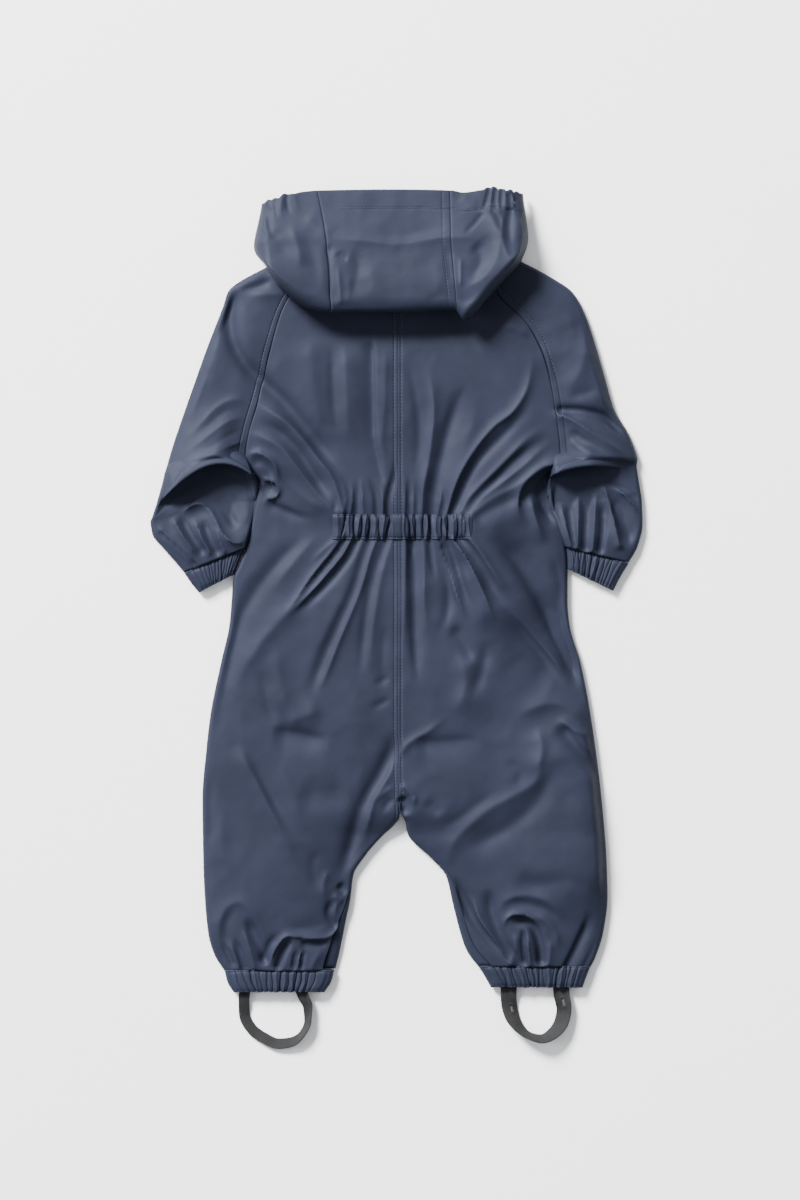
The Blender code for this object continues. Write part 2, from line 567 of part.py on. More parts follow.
def sleeve(side, upper, lip, forearm):
    """Middle surface of a sleeve, one sheet: over the top from its inner seam, round its outer fold
    and back under to the same seam. Above the underarm the seam is open to the body's panels."""
    grid, first, last = [], [], []
    for in_x, in_y, out_x, out_y, arch, rise, slide, height in sleeve_rows(upper, lip, forearm):
        closed = 1 - float(smooth(in_y, RAGLAN_CLOSES[1], RAGLAN_CLOSES[0]))
        inner, outer = np.array([in_x, in_y], float), np.array([out_x, out_y], float)
        way = unit(outer - inner)
        down = side * np.array([way[1], -way[0]])
        start = inner + way * blend(RAGLAN_GAP, CLOTH / 2, closed)
        width = float(np.dot(outer - start, way)) - CLOTH / 2

        in_roll = np.linspace(GAP * 0.7, QUARTER, 3)
        out_roll = np.linspace(QUARTER, -QUARTER, 5)
        in_a, in_z = rolled(in_roll, closed)
        out_a, out_z = rolled(out_roll, 1)
        strips = np.linspace(in_a[-1], width - out_a[0], SLEEVE_TOP_STRIPS + 1)[1:-1]
        under = np.array([(in_a[-1] + width - out_a[-1]) / 2])
        low_a, low_z = rolled(-in_roll[::-2], closed)
        along = np.concatenate([in_a, strips, width - out_a, under, low_a])
        z = np.concatenate([in_z, np.full(len(strips), TOP), out_z, [LOW], low_z])
        upper_part = np.arange(len(along)) < len(in_a) + len(strips) + 3

        share = np.clip(along / width, 0, 1)
        bow = arch * np.sin(math.pi * share**0.75)
        depth = pleat_depth(along, width)
        plan = start + along[:, None] * way
        moved = (slide * depth - bow) * upper_part
        plan = plan + moved[:, None] * down
        raglan_rise = crown_at(rise, along, width, 0, 1)
        level = z + np.where(upper_part, raglan_rise * smooth(z, LOW + ROLL, TOP), 0)
        folds = folds_at(plan[:, 0], plan[:, 1], SLEEVE_CREASES) * smooth(width - along, 2, 18)
        over_seam = (1 - smooth(along, 0, 25)) * (1 - closed)
        folds = folds + folds_at(plan[:, 0], plan[:, 1], BACK_FOLDS) * over_seam
        level = level + np.where(upper_part & (height is None), folds, 0)
        if height is not None:
            level = np.where(upper_part, blend(z, height, depth), level)
        grid.append(np.stack([plan[:, 0], plan[:, 1], level], axis=-1))
        out = np.array([-way[0], -way[1], 0])
        first.append(blend(np.array([0, 0, 1.0]), out, closed))
        last.append(blend(np.array([0, 0, -1.0]), out, closed))
    grid = np.array(grid)
    normals = normals_of(grid)
    if normals[3, 5, 2] < 0:
        normals = -normals
    normals[:, 0], normals[:, -1] = unit(np.array(first)), unit(np.array(last))
    return grid, square_ends(normals, across_line(upper[0]), across_line(forearm[-1]))


def make_sleeves():
    for side, word, upper, lip, forearm in (
        (LEFT, "left", UPPER_LEFT, LIP_LEFT, FOREARM_LEFT),
        (RIGHT, "right", UPPER_RIGHT, LIP_RIGHT, FOREARM_RIGHT),
    ):
        grid, normals = sleeve(side, upper, lip, forearm)
        wall(f"sleeve_{word}", grid, normals)


# ================================================================ elastic casings on cuffs and ankles
def make_ring(name, lines, height, ribs):
    """A flattened ring of casing: gathered ribs on top, flat where it rests."""
    radius = (height - CASING) / 2
    low = CASING / 2
    rib_steps = 3 * ribs
    grid, raised = [], []
    for in_x, in_y, out_x, out_y in lines:
        inner, outer = np.array([in_x, in_y], float), np.array([out_x, out_y], float)
        way = unit(outer - inner)
        start = inner + way * CASING / 2
        width = float(np.linalg.norm(outer - inner)) - CASING
        share = np.linspace(0, 1, rib_steps + 1)
        turns = np.radians(np.linspace(60, -60, 3))
        bottom = np.linspace(1, 0, 4)
        along = np.concatenate([
            radius + share * (width - 2 * radius),
            width - radius + radius * np.cos(turns),
            radius + bottom * (width - 2 * radius),
            radius - radius * np.cos(turns[::-1]),
        ])
        z = np.concatenate([
            np.full(len(share), low + 2 * radius),
            low + radius + radius * np.sin(turns),
            np.full(len(bottom), low),
            low + radius + radius * np.sin(turns[::-1]),
        ])
        plan = start + along[:, None] * way
        grid.append(np.stack([plan[:, 0], plan[:, 1], z], axis=-1))
        wave = RIB_RISE * (1 - np.cos(2 * math.pi * ribs * share)) / 2
        raised.append(np.concatenate([wave, np.zeros(len(along) - len(share))]))
    grid = np.array(grid)
    normals = normals_of(grid, closed=True)
    if normals[1, 5, 2] < 0:
        normals = -normals
    normals = square_ends(normals, across_line(lines[0]), across_line(lines[-1]))
    wall(name, grid, normals, CASING, closed=True, raised=np.array(raised), roughness=0.40)


def make_casings():
    make_ring("cuff_left", CUFF_LEFT, CUFF_HEIGHT, CUFF_RIBS)
    make_ring("cuff_right", CUFF_RIGHT, CUFF_HEIGHT, CUFF_RIBS)
    make_ring("ankle_left", ANKLE_LEFT, ANKLE_HEIGHT, ANKLE_RIBS)
    make_ring("ankle_right", ANKLE_RIGHT, ANKLE_HEIGHT, ANKLE_RIBS)


# ================================================================ hood
def hood_point(across, down):
    """A point of the hood's upper layer, by its share across and its share down from the hem."""
    lines = []
    for line in (HOOD_HEM, HOOD_RIDGE, HOOD_FOLD):
        lines.append((float(through(line, 1)(across)), float(through(line, 2)(across))))
    at = (0, HOOD_RIDGE_AT, 1)
    x = float(through([(at[k], lines[k][0]) for k in range(3)])(down))
    y = float(through([(at[k], lines[k][1]) for k in range(3)])(down))
    return x, y


def hood_height(across, down, x, y):
    """Height of the wall's middle there: the profile down the middle, rounded off at the folds."""
    (left_x, left_y), (right_x, right_y) = hood_point(0, down), hood_point(1, down)
    fold_x, fold_y = hood_point(across, 1)
    side_distance = min(math.hypot(x - left_x, y - left_y), math.hypot(right_x - x, right_y - y))
    fold_distance = math.hypot(x - fold_x, y - fold_y)
    low = float(through(HOOD_UNDERCUT)(across))
    low = blend(HOOD_HEM_SIDE_HEIGHT, low, float(smooth(down, 0.1, 0.8)))
    high = float(through(HOOD_PROFILE)(down)) + float(folds_at(x, y, HOOD_FOLDS))
    rounding = 1.0
    for distance in (side_distance, fold_distance):
        rounding *= math.sqrt(1 - (1 - min(distance / HOOD_EDGE_ROUND, 1)) ** 2)
    return blend(low, max(high, low), rounding)


def hood_grid(first, last, strips):
    across = np.linspace(first, last, strips + 1)
    grid = np.empty((len(HOOD_ROWS), strips + 1, 3))
    for i, down in enumerate(HOOD_ROWS):
        for j, share in enumerate(across):
            x, y = hood_point(share, down)
            grid[i, j] = (x, y, hood_height(share, down, x, y))
    return grid


def hood_gathers(shape, corner, gathers):
    """The elastic hem's gathers in the hood's outer corner, fading down from the hem."""
    raised = np.zeros(shape)
    for k in range(gathers):
        column = 1 + 2 * k if corner == LEFT else shape[1] - 2 - 2 * k
        for i, down in enumerate(HOOD_ROWS):
            raised[i, column] = HOOD_GATHER_RISE * (1 - float(smooth(down, 0.1, 0.42)))
    return raised


def make_hood():
    for name, first, last, strips, gathers in HOOD_PANELS:
        grid = hood_grid(first, last, strips)
        normals = normals_of(grid)
        if normals[3, strips // 2, 2] < 0:
            normals = -normals
        corner = LEFT if first == 0 else RIGHT
        for column, is_seam in ((0, first > 0), (-1, last < 1)):
            if is_seam:
                normals[:, column, 0] = 0
                normals[:, column] = unit(normals[:, column])
        wall(name, grid, normals, raised=hood_gathers(grid.shape[:2], corner, gathers))


def closed_block(name, top, bottom, colour=NAVY, roughness=0.5):
    """A solid between two grids of points, one above the other."""
    middle = (top + bottom) / 2
    normals = np.zeros_like(middle)
    normals[..., 2] = 1
    thick = (top[..., 2] - bottom[..., 2])
    lowered = middle.copy()
    lowered[..., 2] = bottom[..., 2]
    return wall(name, lowered, normals, 0.0, raised=thick, colour=colour, roughness=roughness)


def make_hood_inside():
    """The layers that the hood's upper one hides, one rounded solid: over the shoulders, and down to
    the surface above the neck."""
    across = np.linspace(0.06, 0.94, 13)
    downs = (0.07, 0.2, 0.33, 0.46, 0.6, 0.74, 0.86, 0.93)
    top = np.empty((len(downs), len(across), 3))
    for i, down in enumerate(downs):
        for j, share in enumerate(across):
            x, y = hood_point(share, down)
            top[i, j] = (x, y, hood_height(share, down, x, y) - INSIDE_BELOW)
    bottom = top.copy()
    bottom[..., 2] = INSIDE_FLOOR
    top[..., 2] = np.maximum(top[..., 2], INSIDE_FLOOR + 1.5)
    body = closed_block("hood_inside", top, bottom)

    x0, y0, x1, y1 = NECK_BLOCK
    xs, ys = np.linspace(x0, x1, 7), np.linspace(y1, y0, 3)
    grid = np.array([[(x, y, 0.0) for x in xs] for y in ys])
    raised = grid.copy()
    raised[..., 2] = INSIDE_FLOOR + 1.0
    foot = closed_block("neck_block", raised, grid)
    union = body.modifiers.new("neck", "BOOLEAN")
    union.operation = "UNION"
    union.object = foot
    foot.hide_render = True
    foot.display_type = "WIRE"


# ================================================================ foot straps and zip
def make_strap(name, route):
    """A flat elastic strap swept along its route, tilted where it stands on its edge."""
    table = np.array(route, float)
    steps = np.concatenate([[0], np.cumsum(np.hypot(*np.diff(table[:, :2], axis=0).T))])
    columns = [through(list(zip(steps, table[:, k]))) for k in range(4)]
    at = np.linspace(0, steps[-1], STRAP_STEPS + 1)
    x, y, width, tilt = (column(at) for column in columns)
    tilt = np.radians(tilt)
    tangent = unit(np.stack([np.gradient(x), np.gradient(y), np.zeros_like(x)], axis=-1))
    level = np.cross(tangent, (0, 0, 1.0))
    side = level * np.cos(tilt)[:, None] + np.array([0, 0, 1.0]) * np.sin(tilt)[:, None]
    face = np.cross(side, tangent)
    rest = STRAP_REST * (1 - smooth(np.minimum(at, at[-1] - at), 12, 34))
    z = width / 2 * np.sin(tilt) + STRAP_THICK / 2 * np.cos(tilt) + rest
    centre = np.stack([x, y, z], axis=-1)
    corners = ((1, 1), (1, -1), (-1, -1), (-1, 1))
    points = []
    for k in range(len(at)):
        for a, b in corners:
            points.append(centre[k] + side[k] * a * width[k] / 2 + face[k] * b * STRAP_THICK / 2)
    faces = [(3, 2, 1, 0)]
    for k in range(len(at) - 1):
        for c in range(4):
            a, b = 4 * k + c, 4 * k + (c + 1) % 4
            faces.append((a, b, b + 4, a + 4))
    last = 4 * (len(at) - 1)
    faces.append((last, last + 1, last + 2, last + 3))
    points = np.array(points)
    a, b, c = points[faces[1][0]], points[faces[1][1]], points[faces[1][2]]
    outward = (a + c) / 2 - centre[0]
    if np.dot(np.cross(b - a, c - b), outward) < 0:
        faces = [face[::-1] for face in faces]
    add_object(name, points, faces, STRAP_GREY, 0.8)


def make_zip():
    """The hidden front zip: two tapes with the closed coil along their middle, and its slider."""
    centre = through(INNER_LEFT)
    ys = np.linspace(ZIP_TOP, ZIP_BOTTOM, 9)
    foot = COIL_HALF_WIDTH + COIL_SLOPE
    offsets = (-ZIP_HALF_WIDTH, -foot, -COIL_HALF_WIDTH, COIL_HALF_WIDTH, foot, ZIP_HALF_WIDTH)
    thickness = (CLOTH, CLOTH, CLOTH + COIL_RISE, CLOTH + COIL_RISE, CLOTH, CLOTH)
    bottom = np.array([[(float(centre(y)) + offset, y, 0.0) for offset in offsets] for y in ys])
    top = bottom.copy()
    top[..., 2] = np.array(thickness)
    closed_block("front_zip", top, bottom, ZIP_NAVY, 0.6)
    middle = float(centre(ZIP_TOP))
    y0 = ZIP_TOP + GAP
    ys = (y0 + SLIDER_LENGTH, y0 + SLIDER_LENGTH - SLIDER_END, y0 + SLIDER_END, y0)
    bottom = np.array([
        [(middle + SLIDER_HALF_WIDTH * share * k, y, 0.0) for k in (-1, -0.5, 0.5, 1)]
        for y, share in zip(ys, SLIDER_SHARES)
    ])
    top = bottom.copy()
    top[..., 2] = SLIDER_HEIGHT
    top[:, (0, -1), 2] = SLIDER_HEIGHT - SLIDER_BEVEL
    closed_block("zip_slider", top, bottom, ZIP_NAVY, 0.4)


def main():
    for existing in list(bpy.data.objects):
        bpy.data.objects.remove(existing, do_unlink=True)
    make_body()
    make_waist_casing()
    make_sleeves()
    make_casings()
    make_hood()
    make_hood_inside()
    make_strap("strap_left", STRAP_LEFT)
    make_strap("strap_right", STRAP_RIGHT)
    make_zip()


main()
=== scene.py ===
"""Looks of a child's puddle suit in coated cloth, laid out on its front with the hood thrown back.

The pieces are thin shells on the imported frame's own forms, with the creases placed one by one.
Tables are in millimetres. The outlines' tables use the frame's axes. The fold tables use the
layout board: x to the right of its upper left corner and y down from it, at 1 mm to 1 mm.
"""
import math

import bpy
import numpy as np
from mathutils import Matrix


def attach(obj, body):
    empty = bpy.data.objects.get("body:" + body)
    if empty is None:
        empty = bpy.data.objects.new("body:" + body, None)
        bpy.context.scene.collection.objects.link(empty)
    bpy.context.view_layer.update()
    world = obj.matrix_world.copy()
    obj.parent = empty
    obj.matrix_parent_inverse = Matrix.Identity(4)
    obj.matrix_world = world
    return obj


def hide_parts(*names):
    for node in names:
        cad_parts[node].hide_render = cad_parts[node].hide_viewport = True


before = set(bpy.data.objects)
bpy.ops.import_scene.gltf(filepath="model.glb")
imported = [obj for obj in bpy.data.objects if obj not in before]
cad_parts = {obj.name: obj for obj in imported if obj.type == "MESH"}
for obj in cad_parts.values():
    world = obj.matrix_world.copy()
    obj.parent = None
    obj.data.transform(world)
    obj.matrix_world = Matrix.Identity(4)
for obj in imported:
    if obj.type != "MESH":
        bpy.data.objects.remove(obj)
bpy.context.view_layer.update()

MM = 0.001
BOARD = (-396.5, 620.5)        # the layout board's upper left corner, in the frame
CLOTH = 1.2                    # wall of the coated cloth
CASING = 1.8                   # wall of an elastic casing, two turned layers
GAP = 0.05                     # between two pieces at a seam
EDGE_HEIGHT = 8.0
ROLL = (EDGE_HEIGHT - CLOTH) / 2
QUARTER = ROLL * math.pi / 2
LOW = CLOTH / 2
TOP = LOW + 2 * ROLL
LOWEST_TOP = 3.4
LEFT, RIGHT = -1, 1
WORD = {LEFT: "left", RIGHT: "right"}

ROW_STEP = 2.3                 # between rows of points down the body
SLEEVE_STEP = 1.9              # and down a sleeve
PANEL_STRIPS = 78              # across a body panel's top
SLEEVE_STRIPS = 44
SEAM_POINTS = 9                # round the fold at a seam, or up to it where it lies open
FOLD_POINTS = 15               # round a sleeve's outer fold
LOW_POINTS, UNDER_POINTS = 6, 12     # from the floor up to an outer edge, and across the underside
STITCH, STITCH_GAP, THREAD = 2.5, 0.9, 0.26

# ---------------------------------------------------------------- outlines, as the frame has them
# Columns: y, x.
OUTLINE = {
    LEFT: (
        (370, -78), (340, -97), (308, -115), (270, -126), (220, -138), (180, -149), (162, -151),
        (150, -146), (138, -136), (118, -141), (94, -146), (74, -151), (54, -158), (43, -163),
        (18, -165), (-4, -167), (-40, -175), (-94, -186), (-128, -190), (-178, -194), (-248, -193),
        (-286, -191), (-314, -188), (-334, -182), (-350, -172),
    ),
    RIGHT: (
        (370, 76), (325, 101), (294, 132), (256, 149), (210, 159), (158, 164), (148, 163),
        (136, 156), (120, 157), (100, 163), (75, 169), (50, 171), (20, 171), (-4, 173),
        (-42, 184), (-82, 192), (-128, 199), (-178, 205), (-240, 210), (-276, 211), (-310, 207),
        (-336, 199), (-346, 194),
    ),
}
INNER = {
    LEFT: (
        (370, 1), (0, 1.5), (-130, 1.5), (-180, 2.5), (-196, 3), (-205, -3), (-216, -15),
        (-236, -32), (-254, -43), (-278, -46), (-302, -51), (-328, -56), (-348, -61),
    ),
    RIGHT: (
        (370, 1), (0, 1.5), (-130, 1.5), (-180, 2.5), (-192, 4), (-201, 9), (-213, 11), (-236, 33),
        (-254, 49), (-282, 56), (-306, 62), (-328, 69), (-346, 82),
    ),
}
# Columns: y, width of the front panel that shows beside the inner leg's fold.
WRAP = {
    LEFT: ((370, 0), (-250, 0), (-280, 3), (-310, 8), (-340, 12), (-350, 12)),
    RIGHT: ((370, 0), (-236, 0), (-254, 4), (-282, 7), (-318, 9), (-343, 13), (-350, 13)),
}
# Columns: y, how far the upper wall stands above the side folds.
CROWN = ((370, 3), (318, 3), (270, 6), (180, 7.5), (120, 6.5), (96, 4.5), (60, 6.5), (-60, 8),
         (-180, 8), (-260, 9), (-320, 8), (-350, 4))
RAGLAN_CLOSES = (158, 128)
CROTCH_CLOSES = (-188, -216)
ANKLE_ROW = {LEFT: -349.8, RIGHT: -345.8}
NECK_ROW = 370
STRIP_SLOPE = {LEFT: 0.4, RIGHT: 0.0}     # of the front panel's strip, down to the inner fold
EDGE_CROWN = 0.65              # share of the crown left at an open seam

# ---------------------------------------------------------------- creases
# A crease runs through listed points of the board. Columns: points, width to its left and
# right seen along it, rise (a trough where negative), share of its length over which it comes up
# at its start and dies out at its end.
UPPER_FOLDS = (
    # left sleeve head and the long valley from the shoulder to the waist
    (((262, 271), (244, 283), (228, 291)), 5, 6, 2.6, 0.2, 0.3),
    (((272, 280), (255, 288), (236, 290)), 4, 5, -3.0, 0.2, 0.5),
    (((290, 297), (268, 295), (243, 297)), 5, 5, 2.0, 0.3, 0.5),
    (((238, 290), (230, 312), (232, 338), (245, 364), (262, 381), (282, 400), (302, 424),
      (322, 449), (344, 476)), 7, 7, -8.6, 0.1, 0.2),
    (((302, 330), (330, 327), (400, 330), (470, 327), (500, 314)), 16, 12, -4.0, 0.2, 0.2),
    (((250, 402), (270, 411), (290, 424), (306, 441), (319, 458), (334, 480), (343, 512)),
     4.5, 8, 6.8, 0.25, 0),
    (((244, 433), (262, 437), (281, 447), (296, 465), (314, 489), (334, 513)), 4, 7, 5.0, 0.25, 0),
    (((256, 420), (276, 430), (296, 449), (312, 472), (330, 498)), 4, 4, -5.0, 0.3, 0.2),
    (((250, 452), (268, 460), (285, 480), (306, 499), (330, 514)), 4, 7, 2.4, 0.2, 0.2),
    (((245, 457), (257, 452.5), (268, 457), (275, 464), (278, 474), (277, 484)),
     2.6, 4, 5.4, 0.3, 0.3),
    (((250, 463), (261, 463), (269, 470), (271, 480)), 4, 3, -3.0, 0.25, 0.3),
    (((261, 480), (271, 481), (278, 487), (279, 494), (273, 499), (264, 497)),
     2.2, 2.8, 5.2, 0.1, 0.15),
    (((263, 487), (269, 487.5), (272, 492)), 2, 2, -3.4, 0.2, 0.3),
    (((264, 502), (278, 508), (298, 516), (318, 520)), 3, 5, -4.4, 0.2, 0.6),
    # left sleeve, above the elbow pleat
    (((247, 405), (234, 400), (218, 407), (200, 425), (182, 442)), 5, 3.4, 1.9, 0.2, 0.5),
    (((245, 418), (230, 421), (210, 435), (190, 451), (176, 464)), 5, 3, 1.9, 0.2, 0.5),
    (((243, 411), (226, 412), (208, 426), (190, 442)), 3.5, 3.5, -1.2, 0.3, 0.5),
    (((243, 430), (226, 438), (206, 452), (190, 464)), 3, 3, -1.2, 0.2, 0.5),
    (((222, 330), (216, 360), (214, 392)), 12, 10, 2.0, 0.4, 0.4),
    (((246, 441), (230, 447), (212, 456), (196, 466)), 3, 4, 2.2, 0.2, 0.4),
    (((208, 372), (198, 398), (186, 424)), 5, 4, 1.6, 0.3, 0.4),
    # upper back, left of the middle
    (((308, 336), (312, 376), (317, 412), (327, 450)), 12, 16, 3.4, 0.2, 0.4),
    (((332, 340), (333, 390), (337, 440)), 5, 4, -2.0, 0.3, 0.4),
    (((345, 342), (347, 396), (350, 452)), 14, 7, 4.0, 0.2, 0.4),
    (((371.5, 336), (372.5, 400), (373.5, 438), (378, 460), (385, 492)), 2, 8, -4.0, 0.1, 0.2),
    (((386, 345), (385, 400), (382, 442), (388, 462), (395, 474)), 5, 9, 2.6, 0.2, 0.3),
    # gathers that run up from the waist, left
    (((344, 515), (347, 500), (343, 484), (334, 470)), 2.6, 2.6, 2.4, 0, 0.6),
    (((350.5, 515), (353, 498), (350, 478)), 2, 2.4, 2.4, 0, 0.6),
    (((357, 516), (357.5, 500), (357, 478)), 2.2, 2, -3.4, 0, 0.6),
    (((362.5, 515), (362, 498), (361, 474)), 2.4, 2, 2.6, 0, 0.7),
    (((377, 516), (376, 494), (366, 472)), 2.2, 2.2, -3.6, 0, 0.6),
    (((383, 515), (383, 498), (384, 476)), 3, 3, 2.8, 0, 0.7),
    (((388.5, 516), (389, 500), (394, 474), (394, 458)), 2.2, 2.4, -4.2, 0, 0.5),
    (((334, 514), (336, 500), (330, 488)), 2.4, 2, -2.2, 0, 0.7),
    # gathers right of the middle
    (((404.5, 515), (405.5, 496), (405, 470)), 2, 1.8, 2.2, 0, 0.7),
    (((409, 516), (409.5, 496), (408, 472)), 1.8, 1.8, -3.0, 0, 0.6),
    (((413, 515), (413, 498), (414, 480)), 1.8, 1.8, 2.0, 0, 0.7),
    (((417, 516), (418, 500), (416, 484)), 1.8, 1.8, -2.8, 0, 0.6),
    (((421, 515), (423, 492), (429, 456), (433.5, 416), (431, 384), (424, 362)),
     4, 6, 4.8, 0, 0.35),
    (((431.5, 516), (433, 496), (440, 462), (450, 424), (459, 398), (472, 380)),
     6, 7, -5.0, 0, 0.35),
    (((414, 478), (419, 440), (416, 400), (406, 356)), 5, 6, -2.8, 0.3, 0.4),
    (((437, 515), (440, 498), (441, 484)), 2.4, 2.2, 2.8, 0, 0.7),
    (((441.5, 516), (445, 500), (441, 484)), 1.6, 1.6, -3.0, 0, 0.6),
    (((447, 514), (455, 488), (464, 468), (478, 446), (494, 427), (512, 413), (525, 394),
      (531, 372), (532, 350)), 5, 4, 5.4, 0, 0.3),
    (((452, 514), (462, 490), (472, 470), (486, 452), (503, 435), (521, 416), (534, 396)),
     4, 5, -4.2, 0, 0.4),
    (((443, 500), (452, 476), (466, 446), (475, 412), (484, 378)), 10, 9, 2.8, 0.2, 0.5),
    (((458, 514), (470, 497), (487, 479), (506, 460), (526, 440), (548, 427)), 4, 6, 3.8, 0, 0.35),
    (((464, 516), (478, 497), (496, 479), (514, 461), (534, 445), (550, 437)), 3, 4, -3.6, 0, 0.35),
    (((466, 514), (482, 497), (504, 481), (524, 465), (542, 449), (556, 441)), 3, 5, 3.2, 0, 0.35),
    (((470, 516), (492, 499), (514, 487), (534, 471), (552, 457)), 3.4, 6, 3.0, 0, 0.3),
    (((473, 520), (498, 506), (518, 496), (530, 484)), 5, 6, -2.8, 0.1, 0.5),
    # right shoulder, raglan and pouch at the underarm
    (((502, 326), (518, 330), (530, 338)), 5, 4, 2.4, 0.3, 0.3),
    (((540, 342), (548, 360), (552, 384)), 4, 3, 1.8, 0.3, 0.4),
    (((584, 461), (566, 462), (550, 466), (538, 473), (527, 482), (520, 494), (518.5, 507),
      (523, 518), (532, 524)), 2.6, 7, 9.0, 0.3, 0.35),
    (((534, 492), (533, 504), (537, 522), (545, 545)), 6, 6, 7.0, 0.25, 0.4),
    (((556, 476), (548, 484), (546, 496), (551, 510), (560, 528)), 6, 8, -15.0, 0.05, 0.4),
    # right sleeve, above the elbow pleat
    (((561, 410.5), (580, 411.5), (602, 417), (620, 431), (632, 446)), 4, 3, -6.4, 0, 0.3),
    (((562, 415), (578, 423), (598, 436), (616, 448), (630, 456)), 2.6, 6, 5.6, 0, 0.3),
    (((568, 430), (584, 442), (602, 452), (616, 459)), 3.6, 3.6, -3.2, 0.2, 0.4),
    (((569, 438), (578, 448), (592, 454), (604, 463)), 3, 4, 2.4, 0.2, 0.4),
    (((585, 338), (583, 362), (572, 384), (560, 392)), 9, 9, 3.0, 0.3, 0.4),
    (((598, 388), (584, 394), (566, 398)), 6, 6, -2.2, 0.4, 0.4),
    (((600, 392), (612, 410), (626, 432), (632, 452)), 3, 4, 2.0, 0.3, 0.3),
    (((566, 312), (572, 330), (574, 346)), 7, 8, 1.6, 0.4, 0.4),
    (((588, 318), (604, 350), (616, 388), (624, 420)), 8, 24, 8.0, 0.2, 0.3),
)
